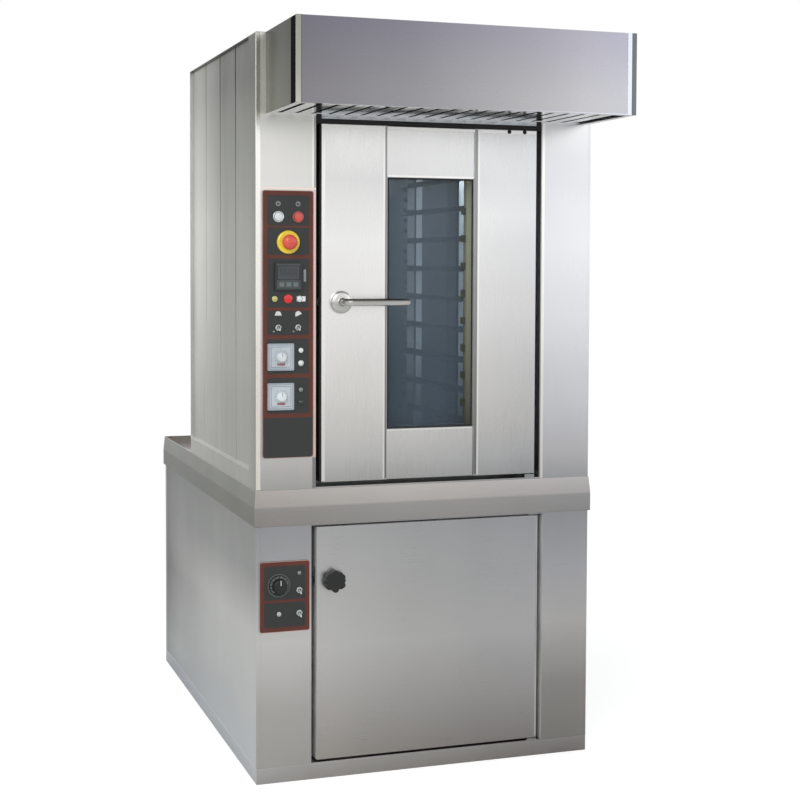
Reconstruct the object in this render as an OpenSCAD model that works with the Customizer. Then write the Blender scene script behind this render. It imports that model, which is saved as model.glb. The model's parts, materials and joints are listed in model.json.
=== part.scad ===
// Rotating rack oven standing on a proving cabinet.
// X = 0 is the middle of the cabinet and the front faces -Y. The origin is on the
// floor, under the middle of the outline. Depths count from the cabinets' front
// plane, and heights from the floor.

/* [Cabinets] */
// Width of the left post, which carries the controls
left_post_w = 164; // [158:1:190]
// Width of the right post
right_post_w = 152; // [145:1:180]
// Room on the deck behind the rear housing
deck_tail = 24; // [20:1:60]
// Height of the plinth
plinth_h = 42; // [34:1:60]
// Height of the lower cabinet's top edge above the floor
base_top = 694; // [680:1:730]
// Thickness of the casing sheet
sheet = 2; // [1.5:0.1:3]
// Depth of the lower posts along the sides
base_post_d = 30; // [20:1:60]
// Width of the back panel's flanges on the sides
back_flange = 25; // [15:1:50]

/* [Deck rim] */
// Height of the rim above the lower cabinet
rim_h = 97; // [85:1:120]
// Height of the rim's sloping upper band
rim_bevel_h = 46; // [30:1:60]
// How far the lower band stands out from the cabinet
rim_out = 6; // [4:0.5:10]
// How far the rim's top edge stands out from the cabinet
rim_lip = 2; // [1:0.5:3.5]
// How far the deck lies below the rim's top edge
deck_drop = 30; // [20:1:45]
// Width of the flange on which the rim rests
rim_flange = 14; // [8:1:25]

/* [Oven side panels] */
// How far the ribbed panels lie inside the posts
panel_inset = 10; // [6:1:20]
// Thickness of a ribbed panel
panel_t = 12; // [9:1:16]
// Number of joints down each side
panel_joints = 3; // [1:1:5]
// Width of a joint's groove
joint_w = 8; // [4:1:12]
// Depth of a joint's groove
joint_d = 6; // [3:0.5:8]
// Height of the plain skirt above the rim
skirt_h = 47; // [30:1:70]

/* [Oven door] */
// Width of the oven door
oven_door_w = 622; // [600:1:640]
// Height of the oven door
oven_door_h = 958; // [930:1:965]
// Thickness of the oven door
oven_door_t = 78; // [68:1:90]
// Sill showing under the doorway
oven_sill = 4; // [2:1:8]
// Gap beside the oven door
oven_gap_side = 15; // [12:0.5:18]
// Gap under the oven door
oven_gap_low = 12; // [10:0.5:16]
// Gap over the oven door
oven_gap_top = 14; // [10:0.5:18]
// Height of the lintel strip
lintel_h = 26; // [15:1:30]
// Gap over the lintel strip
lintel_gap = 6; // [3:1:10]
// Width of the window
window_w = 253; // [220:1:280]
// Height of the window
window_h = 686; // [640:1:720]
// Height of the lower centre panel
window_sill = 136; // [110:1:160]
// How far the centre panels lie behind the stiles
centre_inset = 3; // [1:0.5:6]
// Thickness of a window pane
glass_t = 4; // [3:0.5:6]
// Gap between the closed door's seal and the frame
seal_gap = 1.5; // [1.2:0.1:3]
// Thickness of the door's seal
seal_t = 5.5; // [4:0.5:8]
// Width of the door's seal
seal_w = 12; // [8:1:16]
// Thickness of the dark strip round the door's edge
edge_t = 3; // [2:0.5:4]
// How far each chamber's mouth lies inside its door's outline
landing = 25; // [20:1:32]

/* [Hinges] */
// How far a hinge pin stands in from the door's right edge
pivot_in = 11; // [10:0.5:13]
// How far a hinge pin stands behind the door's face
pivot_back = 15; // [13:0.5:18]
// Radius of a hinge pin
pin_r = 5; // [4:0.25:6]
// Length of a hinge pin inside the door
pin_l = 18; // [12:1:24]
// Running clearance round a pin or a shaft
running = 0.06; // [0.02:0.01:0.1]
// Width of a hinge bracket
bracket_w = 33; // [26:1:40]
// Depth of a hinge bracket
bracket_d = 24; // [20:1:28]
// Gap between a bracket and the door
bracket_gap = 3; // [2:0.5:4]

/* [Lever and latch] */
// Distance of the lever's spindle from the door's left edge
lever_in = 54; // [45:1:70]
// Height of the lever above the oven door's lower edge
lever_up = 484; // [380:1:560]
// Length of the lever
lever_l = 180; // [140:1:190]
// Radius of the lever's tube
lever_r = 9.5; // [8:0.5:12]
// Distance of the lever's tube from the door
lever_stand = 52; // [44:1:60]
// Radius of the bend at the lever's root
lever_bend = 16; // [13:0.5:22]
// Radius of the rose
rose_r = 31; // [26:0.5:36]
// Thickness of the rose
rose_t = 9; // [6:0.5:12]
// Radius of the lever's spindle
spindle_r = 6; // [5:0.25:7]
// Height and thickness of the latch bolt
bolt_s = 14; // [12:0.5:16]
// How far the latch bolt stands out of the door
bolt_out = 9; // [6:0.5:10]

/* [Lower door] */
// How much wider the lower door is than the oven door
door_wider = 24; // [16:1:30]
// Thickness of the lower door
base_door_t = 50; // [44:1:60]
// Gap beside the lower door
base_gap_side = 15; // [12:0.5:18]
// Gap under the lower door
base_gap_low = 10; // [8:0.5:14]
// Gap over the lower door
base_gap_top = 8; // [7:0.5:12]
// Height of the sill and the header that join the lower posts
base_rail = 3; // [3:0.5:4]
// Distance of the knob from the lower door's left edge
knob_in = 46; // [40:1:60]
// Height of the knob above the lower door's lower edge
knob_up = 488; // [300:1:540]
// Radius of the knob over its lobes
knob_r = 30; // [24:0.5:36]
// Thickness of the knob
knob_t = 24; // [16:1:32]
// Number of lobes on the knob
knob_lobes = 6; // [5:1:8]

/* [Chamber] */
// Distance between the chamber and the cabinet's sides
wall_room = 104; // [100:1:120]
// How much lower the chamber is than the oven door
chamber_less = 8; // [2:1:14]
// Depth of the chamber
chamber_d = 806; // [800:1:850]
// Height of the chamber's floor over the oven door's foot
chamber_floor_up = 18; // [12:1:24]
// Depth of the front corners kept free for the controls
corner_d = 165; // [140:1:185]
// Length of the slanted corner walls
corner_slant = 90; // [70:1:110]
// Distance between the chamber's back and the oven's back
back_clear = 5; // [3:0.5:8]

/* [Rack] */
// Distance of the rack's axis from the chamber's back
rack_back = 373; // [371:1:378]
// Width of the rack over its posts
rack_w = 446; // [440:1:450]
// Distance between the middles of the front and back posts
rack_post_gap = 382; // [340:1:400]
// Width of a rack post
rack_post = 20; // [16:1:24]
// Length of a tray runner
runner_l = 540; // [500:1:545]
// Height between two tray levels
tray_pitch = 89; // [70:1:90]
// Height of the lowest tray level above the rack's foot
tray_first = 76; // [60:1:80]
// Width of a tray runner's ledge
ledge_w = 25; // [18:1:30]
// Height of a tray runner's upright leg
ledge_h = 16; // [12:1:24]
// Gap between the rack and the chamber's ceiling
rack_head = 58; // [54:1:70]
// Height of the rack's foot above the chamber's floor
rack_foot = 26; // [24:1:34]
// Radius of the drive shaft
shaft_r = 15; // [12:0.5:18]
// Radius of the lower pivot
pivot_r = 12; // [9:0.5:14]

/* [Fan box] */
// How far the fan box lies inside the chamber's sides
fan_side = 80; // [70:1:100]
// How far the fan box lies inside the chamber's floor and ceiling
fan_end = 85; // [75:1:100]
// Depth of the fan box
fan_box_d = 205; // [190:1:220]
// Thickness of the wool behind the chamber
wool_t = 50; // [40:1:60]
// Radius of the fan wheel
fan_r = 170; // [150:1:178]
// Width of the fan's blades
blade_w = 60; // [45:1:70]
// Number of fan blades
blade_count = 12; // [8:1:16]
// Distance of the smallest heating ring from the fan wheel
ring_room = 20; // [14:1:30]
// How much larger each further heating ring is
ring_step = 14; // [12:1:15]
// Radius of a heating tube
tube_r = 5; // [4:0.25:6]
// Radius of the suction opening
suction_r = 150; // [120:1:165]
// Radius of the fan motor
motor_r = 70; // [60:1:85]
// Length of the fan motor
motor_l = 120; // [90:1:140]

/* [Rear housing] */
// How far the rear housing stands out beside the fan box's wool
rear_room = 40; // [30:1:60]
// Gap behind the fan motor
rear_gap = 52; // [40:1:80]
// How far the rear housing reaches above the fan box's wool
rear_head = 111; // [90:1:160]

/* [Vent and services] */
// Outer radius of the vent collar
vent_r = 60; // [50:0.5:75]
// Wall of the vent collar
vent_wall = 2; // [1.5:0.1:3]
// Height of the vent collar above the roof
vent_h = 60; // [40:1:80]
// Outer radius of the water nipple
water_r = 13.2; // [10.5:0.1:16.6]
// Distance of the vent collar from the chamber's right wall
vent_in = 180; // [150:1:200]
// Distance of the vent collar behind the rack's axis
vent_back = 170; // [150:1:220]
// Bore radius of the cable gland
gland_r = 9; // [7:0.5:11]

/* [Hood] */
// How far the hood stands out in front of the doors
hood_d = 307; // [260:1:330]
// Height of the hood's lower edge above the oven door
hood_gap = 21; // [15:1:40]
// Height of the hood
hood_h = 214; // [190:1:230]
// Inset of the hood's left side
hood_left = 27; // [15:1:35]
// Inset of the hood's right side
hood_right = 18; // [10:1:30]
// How far the filter lies above the hood's lower edge
filter_up = 3; // [2:1:8]
// Thickness of the filter
filter_t = 20; // [14:1:26]
// Distance between two filter slats
slat_pitch = 45; // [38:1:60]
// Width of a filter slat
slat_w = 34; // [24:1:36]

/* [Oven fascia] */
// Distance of the oven fascia from the left side
fascia_left = 16; // [12:1:18]
// Gap between the oven fascia and the doorway
fascia_right = 7.5; // [5:0.5:12]
// How far the fascia's upper edge lies under the hood
fascia_down = 199; // [180:1:240]
// How far the fascia reaches under the lower timer's middle
fascia_tail = 165; // [60:1:180]
// Thickness of a fascia
fascia_t = 3; // [2:0.5:4]
// Corner radius of a fascia
fascia_round = 14; // [8:1:20]
// Half the distance between the paired buttons
pair_half = 27; // [24:0.5:30]
// Distance of the push-buttons from the fascia's top
buttons_down = 70; // [60:1:80]
// Height between the push-buttons and the stop button
estop_down = 67; // [60:1:75]
// Height between the stop button and the controller
controller_down = 91; // [85:1:100]
// Height between the controller and the pilot lamps
lamps_down = 59; // [55:1:66]
// Height between the pilot lamps and the toggle switches
toggles_down = 76; // [65:1:85]
// Height between the toggle switches and the upper timer
timer_down = 78; // [70:1:88]
// Height between the two timers
timer_pitch = 105; // [95:1:115]
// Width of a timer and of the controller
timer_s = 74; // [70:1:76]
// How far the timers stand left of the fascia's middle
timer_left = 21; // [19:0.5:23]
// Thickness of a timer's frame
timer_t = 7; // [5:0.5:10]

/* [Lower fascia] */
// Distance of the lower fascia from the left side
low_fascia_left = 7.5; // [6:0.5:9]
// Gap between the lower fascia and the lower doorway
low_fascia_right = 5; // [3:0.5:8]
// Distance of the lower fascia from the lower cabinet's top
low_fascia_drop = 94; // [80:1:110]
// How far the lower fascia reaches under its lower switch
low_fascia_tail = 49; // [30:1:60]
// Distance of the dial from the lower fascia's top
dial_down = 65; // [55:1:75]
// Radius of the thermostat dial
dial_r = 27; // [22:0.5:30]
// Distance of the upper lamp from the lower fascia's top
low_lamp_down = 34; // [28:1:40]
// Distance of the upper small switch from the lower fascia's top
low_switch_down = 80; // [74:1:88]
// Height between the two small switches
low_switch_gap = 62; // [50:1:70]

/* [Controls] */
// Radius of a push-button
button_r = 11; // [9:0.5:12]
// Radius of a push-button's bezel
bezel_r = 15; // [14:0.5:17]
// How far a push-button stands out of its bezel
button_out = 5; // [4:0.5:7]
// Radius of the mushroom head
mushroom_r = 20; // [17:0.5:23]
// Radius of the yellow collar
collar_r = 31; // [28:0.5:33]
// Thickness of the yellow collar
collar_t = 8; // [5:0.5:12]
// Gap between the mushroom head and the collar, which it travels through
mushroom_travel = 6; // [5:0.5:9]
// Radius of a pilot lamp
lamp_r = 9; // [7:0.5:10]
// Radius of a toggle switch's bush
bush_r = 6; // [5.5:0.25:7]
// Length of a toggle lever outside its bush
toggle_l = 14; // [10:1:18]
// Radius of a timer's knob
timer_knob_r = 13; // [10:0.5:16]
// Gap round a moving control
control_gap = 0.4; // [0.3:0.1:0.6]

/* [Proving chamber] */
// How far the proving chamber's walls lie outside its mouth
prover_side = 32; // [26:1:40]
// Distance between the proving chamber and the cabinet's back
prover_tail = 71; // [60:1:120]
// How far its floor and ceiling lie outside its mouth
prover_lip = 7; // [5:0.5:10]
// How far the tray rails reach from the chamber's walls
rail_reach = 42; // [36:1:48]
// Height between two tray rails
rail_pitch = 76; // [65:1:78]
// Height of the lowest rail above the chamber's floor
rail_first = 40; // [30:1:50]
// Radius of the screw heads
screw_r = 6; // [4:0.5:8]

/* [Hidden] */
$fn = 40;

cut = 1; // how far a cutting block runs past the face it cuts
air = 1; // gap round wool and boxes that do not touch

// Widths of the doorways and the cabinets
base_door_w = oven_door_w + door_wider;
oven_door_half = oven_door_w / 2;
oven_hole_half = oven_door_half + oven_gap_side;
base_door_half = base_door_w / 2;
base_hole_half = base_door_half + base_gap_side;
window_half = window_w / 2;
oven_mouth_half = oven_door_half - landing;
base_mouth_half = base_door_half - landing;
half_w = (left_post_w + right_post_w) / 2 + oven_hole_half;
cx = (left_post_w - right_post_w) / 2; // middle of the doors, the chamber and the rack

// Heights
rim_top = base_top + rim_h;
rim_mid = rim_top - rim_bevel_h;
deck_z = rim_top - deck_drop;
oven_hole_low = rim_top + oven_sill;
oven_door_low = oven_hole_low + oven_gap_low;
oven_door_top = oven_door_low + oven_door_h;
lintel_low = oven_door_top + oven_gap_top;
oven_hole_top = lintel_low + lintel_h + lintel_gap;
hood_low = oven_door_top + hood_gap;
body_h = hood_low + hood_h;
roof_z = body_h - sheet;
window_low = oven_door_low + window_sill;
window_top = window_low + window_h;
lever_z = oven_door_low + lever_up;
mouth_low = oven_door_low + landing;
mouth_top = oven_door_top - landing;
base_hole_low = plinth_h + base_rail;
base_hole_top = base_top - base_rail;
base_door_low = plinth_h + base_gap_low;
base_door_top = base_top - base_gap_top;
base_mouth_low = base_door_low + landing;
base_mouth_top = base_door_top - landing;
knob_z = base_door_low + knob_up;

// Hinge axes
oven_pivot = [cx + oven_door_half - pivot_in, pivot_back];
base_pivot = [cx + base_door_half - pivot_in, pivot_back];

// Chamber and rack
oven_frame_d = oven_door_t + seal_t + seal_gap;
chamber_w = 2 * (half_w - wall_room);
chamber_h = oven_door_h - chamber_less;
chamber_front = oven_frame_d + sheet;
chamber_back = chamber_front + chamber_d;
oven_d = chamber_back + sheet + back_clear;
floor_z = oven_door_low + chamber_floor_up;
ceiling_z = floor_z + chamber_h;
rack_y = chamber_back - rack_back;
rack_h = chamber_h - rack_foot - rack_head;
rack_low = floor_z + rack_foot;
rack_top = rack_low + rack_h;
tray_room = 60; // least height kept over the top tray level
tray_levels = floor((rack_h - tray_first - tray_room) / tray_pitch) + 1;
rack_bar = 8; // thickness of the rack's cross bars
hub_r = 28;
hub_h = 24;
rack_bore_d = 16; // depth of the shaft's seats in the rack's hubs
bearing_r = 26;
bush_flange = 16; // the rack's bearings
bush_flange_t = 5;
bush_h = 22;
cup_h = 18;
cup_floor = 3;
lamp_in = 130; // distance of the chamber's lamps from its sides
lamp_back = 93; // and from its front
lamp_x = chamber_w / 2 - lamp_in;
lamp_y = chamber_front + lamp_back;
vent_x = cx + chamber_w / 2 - vent_in;
vent_y = rack_y + vent_back;

// Rack drive
gear_lift = 6; // gap between the roof wool and the gearbox
gear_low = ceiling_z + sheet + wool_t + gear_lift;
gear_h = 90;
gear_half = 65;
gear_motor_l = 190;
gear_motor_r = 42;
gear_bore_d = 60;
shaft_play = 10; // gap between the shafts' ends and their bores
stand_r = 7; // radius of the motors' stand-off posts
post_in = 10;
box_half = 32; // the motors' terminal boxes
box_sunk = 8;
box_out = 24;

// Fan, fan motor and rear housing
fan_box_w = chamber_w - 2 * fan_side;
fan_box_h = chamber_h - 2 * fan_end;
fan_front = chamber_back + sheet;
fan_back = fan_front + fan_box_d;
fan_z = (floor_z + ceiling_z) / 2;
wheel_back = 45; // distance of the fan wheel's disc from the fan box's back
wheel_y = fan_back - wheel_back;
wheel_t = 4;
fan_shaft_r = 12;
shaft_hole_r = 30;
motor_lift = 4; // gap between the wool and the fan motor
motor_front = fan_back + wool_t + motor_lift;
motor_foot = 10; // thickness and overhang of the fan motor's foot
motor_side = 5;
motor_room = motor_r + motor_foot + motor_side;
motor_bore_d = 70;
rear_half = fan_box_w / 2 + wool_t + rear_room;
rear_d = motor_front + motor_foot + motor_l + rear_gap;
rear_top = fan_z + fan_box_h / 2 + wool_t + rear_head;
inlet_side = 90; // distance of the inlets from each other, side and deck
water_x = inlet_side - rear_half;
gland_x = water_x + inlet_side;
service_z = deck_z + inlet_side;
inlet_in = 20; // how far they reach into the rear housing
gland_wall = 4;

// Lower cabinet and proving chamber
base_d = rear_d + deck_tail;
base_frame_d = base_door_t + seal_t + seal_gap;
prover_half = base_mouth_half + prover_side;
prover_z = base_mouth_low - prover_lip;
prover_h = base_mouth_top - base_mouth_low + 2 * prover_lip;
prover_front = base_frame_d + sheet;
prover_back = base_d - prover_tail;
rail_levels = floor((prover_h - rail_first - tray_room) / rail_pitch) + 1;

// The front plane's place in the part's own frame
front_y = (hood_d - base_d - rim_out) / 2;

// Fascias
fascia_x0 = -half_w + fascia_left;
fascia_x1 = cx - oven_hole_half - fascia_right;
fascia_x = (fascia_x0 + fascia_x1) / 2;
fascia_top = hood_low - fascia_down;
buttons_z = fascia_top - buttons_down;
estop_z = buttons_z - estop_down;
controller_z = estop_z - controller_down;
lamps_z = controller_z - lamps_down;
toggles_z = lamps_z - toggles_down;
timer_high_z = toggles_z - timer_down;
timer_low_z = timer_high_z - timer_pitch;
fascia_low = timer_low_z - fascia_tail;
timer_x = fascia_x - timer_left;
side_right = 35; // place of the column of lamps beside the timers
side_item_x = fascia_x + side_right;
low_fascia_x0 = -half_w + low_fascia_left;
low_fascia_x1 = cx - base_hole_half - low_fascia_right;
low_fascia_x = (low_fascia_x0 + low_fascia_x1) / 2;
low_fascia_top = base_top - low_fascia_drop;
dial_z = low_fascia_top - dial_down;
low_lamp_z = low_fascia_top - low_lamp_down;
low_switch_high = low_fascia_top - low_switch_down;
low_switch_low = low_switch_high - low_switch_gap;
low_fascia_low = low_switch_low - low_fascia_tail;
low_item_right = 40;
low_item_x = low_fascia_x + low_item_right;
dial_left = 16;
dial_x = low_fascia_x - dial_left;
fascia_border = 8; // how far the hole in the post lies inside the fascia

// Doors
skin_back = oven_door_t - sheet; // front of the door liner's back sheet
lever_x = cx - oven_door_half + lever_in;
knob_x = cx - base_door_half + knob_in;
latch_y = 34; // depth of the latch bolt's middle
cam_y = 24; // depth of the lower door's cam
cam_t = 6;
cam_w = 18;
cam_out = 8; // how far the cam's tip stands out of the door
cam_reach = norm([knob_in + cam_out, cam_w / 2]);
// how high the turning cam's corner passes the door's edge
cam_rise = cam_reach * sin(acos((knob_in - sheet) / cam_reach));
bush_wall = 4; // wall of the hinge bushes in the doors
bolt_gap = 10;
bolt_l = lever_in - spindle_r - bolt_gap;
dial_hole_r = 5;
knob_stem_r = 4;
estop_stem_r = 9.6;
collar_neck_r = estop_stem_r + 4;
barrel_hole_r = button_r + 2;
bush_d = 14; // depth of a toggle's bush behind the front plane
ball_r = bush_r - 1.5;

// ---- helpers ----

// A block between two opposite corners
module block(low, high) {
    translate(low) cube(high - low);
}

// Depths below are counted from the front plane
module at_front() {
    translate([0, front_y, 0]) children();
}

// A round piece along Y, from depth y0 to y1
module rod_y(x, z, y0, y1, r) {
    translate([x, y1, z]) rotate([90, 0, 0]) cylinder(r = r, h = y1 - y0);
}

// A round piece along Z, from height z0 to z1
module rod_z(x, y, z0, z1, r) {
    translate([x, y, z0]) cylinder(r = r, h = z1 - z0);
}

// A round piece along X, from x0 to x1
module rod_x(y, z, x0, x1, r) {
    translate([x0, y, z]) rotate([0, 90, 0]) cylinder(r = r, h = x1 - x0);
}

// A plate with round corners, standing in the XZ plane from depth y0 to y1
module round_plate(x0, x1, z0, z1, y0, y1, r) {
    block([x0 + r, y0, z0], [x1 - r, y1, z1]);
    block([x0, y0, z0 + r], [x1, y1, z1 - r]);
    for (x = [x0 + r, x1 - r], z = [z0 + r, z1 - r]) rod_y(x, z, y0, y1, r);
}

// A block between two corners, with an opening left by t_x and t_z
module ring_xz(low, high, t_x, t_z) {
    difference() {
        block(low, high);
        block(low + [t_x, -cut, t_z], high + [-t_x, cut, -t_z]);
    }
}

// A box of sheet that is open on its front
module tray_box(low, high, t) {
    difference() {
        block(low, high);
        block(low + [t, -cut, t], high - [t, t, t]);
    }
}

// ---- lower cabinet ----

module base_plinth() color("gray") at_front() difference() {
    block([-half_w, 0, 0], [half_w, base_d, plinth_h]);
    block([-half_w + sheet, sheet, sheet], [half_w - sheet, base_d - sheet, plinth_h + cut]);
}

module base_side_panels() color("silver") at_front() {
    for (x = [-half_w, half_w - sheet])
        block([x, base_post_d, plinth_h], [x + sheet, base_d - back_flange, base_top]);
}

// The lower back has flanges, the upper one a hole for the fan box.
module back_panels() color("silver") at_front() {
    difference() {
        block([-half_w, base_d - back_flange, plinth_h], [half_w, base_d, base_top]);
        block([-half_w + sheet, base_d - back_flange - cut, plinth_h - cut],
            [half_w - sheet, base_d - sheet, base_top + cut]);
    }
    difference() {
        block([-half_w, oven_d - sheet, deck_z], [half_w, oven_d, roof_z]);
        block([cx - fan_box_w / 2 - air, oven_d - sheet - cut, fan_z - fan_box_h / 2 - air],
            [cx + fan_box_w / 2 + air, oven_d + cut, fan_z + fan_box_h / 2 + air]);
    }
}

module base_front_frame() color("lightgray") at_front() difference() {
    union() {
        block([-half_w, 0, plinth_h], [half_w, sheet, base_top]);
        for (x = [-half_w, half_w - sheet])
            block([x, 0, plinth_h], [x + sheet, base_post_d, base_top]);
        block([cx - base_hole_half - sheet, 0, base_hole_low - sheet],
            [cx + base_hole_half + sheet, base_frame_d, base_hole_top + sheet]);
    }
    block([cx - base_hole_half, -cut, base_hole_low],
        [cx + base_hole_half, base_frame_d + cut, base_hole_top]);
    block([low_fascia_x0 + fascia_border, -cut, low_fascia_low + fascia_border],
        [low_fascia_x1 - fascia_border, sheet + cut, low_fascia_top - fascia_border]);
}

// The rim rests on the cabinet, and the deck lies between its walls
module deck_rim() color("silver") at_front() difference() {
    union() {
        block([-half_w - rim_out, -rim_out, base_top], [half_w + rim_out, base_d + rim_out, rim_mid]);
        hull() {
            block([-half_w - rim_out, -rim_out, rim_mid - cut],
                [half_w + rim_out, base_d + rim_out, rim_mid]);
            block([-half_w - rim_lip, -rim_lip, rim_top - cut],
                [half_w + rim_lip, base_d + rim_lip, rim_top]);
        }
    }
    block([-half_w, 0, deck_z], [half_w, base_d, rim_top + cut]);
    block([-half_w, 0, base_top + sheet], [half_w, base_d, deck_z - sheet]);
    block([-half_w + rim_flange, rim_flange, base_top - cut],
        [half_w - rim_flange, base_d - rim_flange, deck_z - sheet]);
}

module prover_liner() color("lightgray") at_front() difference() {
    union() {
        block([cx - base_hole_half - sheet, base_frame_d, base_hole_low - sheet],
            [cx + base_hole_half + sheet, base_frame_d + sheet, base_hole_top + sheet]);
        block([cx - prover_half - sheet, base_frame_d, prover_z - sheet],
            [cx + prover_half + sheet, prover_back + sheet, prover_z + prover_h + sheet]);
    }
    block([cx - prover_half, prover_front, prover_z],
        [cx + prover_half, prover_back, prover_z + prover_h]);
    block([cx - base_mouth_half, base_frame_d - cut, base_mouth_low],
        [cx + base_mouth_half, base_frame_d + sheet + cut, base_mouth_top]);
}

rail_out = 14; // how far the ladders' uprights stand off the chamber's wall
rail_leg = 20; // width of an upright, and height of a rail's leg
rail_lead = 20; // room in front of the rails
rail_tail = 50; // room behind them

module prover_tray_rails() color("silver") at_front() {
    rail_l = prover_back - prover_front - rail_lead - rail_tail;
    for (side = [0, 1]) translate([cx, prover_front + rail_lead, prover_z])
        mirror([side, 0, 0]) translate([-prover_half, 0, 0]) {
            for (k = [0:2])
                translate([0, k * (rail_l - rail_leg) / 2, 0]) cube([rail_out, rail_leg, prover_h]);
            for (level = [0:rail_levels - 1])
                translate([rail_out - cut, 0, rail_first + level * rail_pitch]) {
                    cube([rail_reach - rail_out + cut, rail_l, sheet]);
                    cube([sheet + cut, rail_l, rail_leg]);
                }
        }
}

pan_half = 150; // half the width of the humidifier's pan
pan_d = 130;
pan_h = 38; // the pan stays below the lowest tray
pan_gap = 40; // room behind the pan
immersion_half = 60;
immersion_up = 22; // height of the heater above the chamber's floor
immersion_in = 40; // how far inside the pan the heater's front leg lies

module prover_humidifier() color("dimgray") at_front() {
    pan_y = prover_back - pan_gap - pan_d;
    low = [cx - pan_half, pan_y, prover_z];
    high = [cx + pan_half, pan_y + pan_d, prover_z + pan_h];
    difference() {
        block(low, high);
        block(low + [sheet, sheet, sheet], high + [-sheet, -sheet, cut]);
    }
    // the heater's legs run through the pan into the back wall
    for (x = [-immersion_half, immersion_half])
        rod_y(cx + x, prover_z + immersion_up, pan_y + immersion_in, prover_back, tube_r);
    rod_x(pan_y + immersion_in + tube_r, prover_z + immersion_up,
        cx - immersion_half, cx + immersion_half, tube_r);
}

module prover_fascia() color("dimgray") at_front() difference() {
    round_plate(low_fascia_x0, low_fascia_x1, low_fascia_low, low_fascia_top,
        -fascia_t, 0, fascia_round);
    rod_y(dial_x, dial_z, -fascia_t - cut, cut, dial_hole_r);
    for (z = [low_switch_high, low_switch_low]) rod_y(low_item_x, z, -fascia_t - cut, cut, bush_r);
    for (place = low_lamp_places) rod_y(place[0], place[1], -fascia_t - cut, cut, lamp_r - lamp_lip);
}

// ---- oven casing ----

lug_half = 30; // half the width of a lug behind the lintel strip
lug_d = 20; // depth to which a lug reaches

module oven_front_frame() color("gainsboro") at_front() difference() {
    union() {
        block([-half_w, 0, deck_z], [half_w, sheet, roof_z]);
        for (x = [-half_w, half_w - sheet])
            block([x, 0, deck_z], [x + sheet, oven_frame_d, roof_z]);
        block([cx - oven_hole_half - sheet, 0, oven_hole_low - sheet],
            [cx + oven_hole_half + sheet, oven_frame_d, oven_hole_top + sheet]);
    }
    block([cx - oven_hole_half, -cut, oven_hole_low],
        [cx + oven_hole_half, oven_frame_d + cut, oven_hole_top]);
    block([fascia_x0 + fascia_border, -cut, fascia_low + fascia_border],
        [fascia_x1 - fascia_border, sheet + cut, fascia_top - fascia_border]);
}

module lintel_panel() color("gray") at_front() {
    block([cx - oven_door_half, 0, lintel_low], [cx + oven_door_half, sheet, lintel_low + lintel_h]);
    for (side = [-1, 1]) translate([cx + side * (oven_hole_half - lug_half), 0, 0])
        block([-lug_half, sheet, lintel_low + 2 * sheet], [lug_half, lug_d, oven_hole_top]);
}

module oven_side_panels() color("darkgray") at_front() {
    panel_y1 = oven_d - sheet;
    pitch = (panel_y1 - oven_frame_d) / (panel_joints + 1);
    inner = -half_w + panel_inset + panel_t;
    for (side = [0, 1]) mirror([side, 0, 0]) difference() {
        union() {
            block([-half_w + panel_inset, oven_frame_d, deck_z], [inner, panel_y1, roof_z]);
            block([-half_w, oven_frame_d, deck_z], [inner, panel_y1, rim_top + skirt_h]);
        }
        for (k = [1:panel_joints]) translate([0, oven_frame_d + k * pitch, 0])
            block([-half_w + panel_inset - cut, -joint_w / 2, rim_top + skirt_h],
                [-half_w + panel_inset + joint_d, joint_w / 2, roof_z + cut]);
    }
}

// The vent pipe is welded into the roof and ends in the chamber's ceiling
module roof_panel() color("silver") at_front() difference() {
    union() {
        block([-half_w, 0, roof_z], [half_w, oven_d, body_h]);
        rod_z(vent_x, vent_y, ceiling_z, body_h + vent_h, vent_r);
    }
    rod_z(vent_x, vent_y, ceiling_z - cut, body_h + vent_h + cut, vent_r - vent_wall);
}

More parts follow.
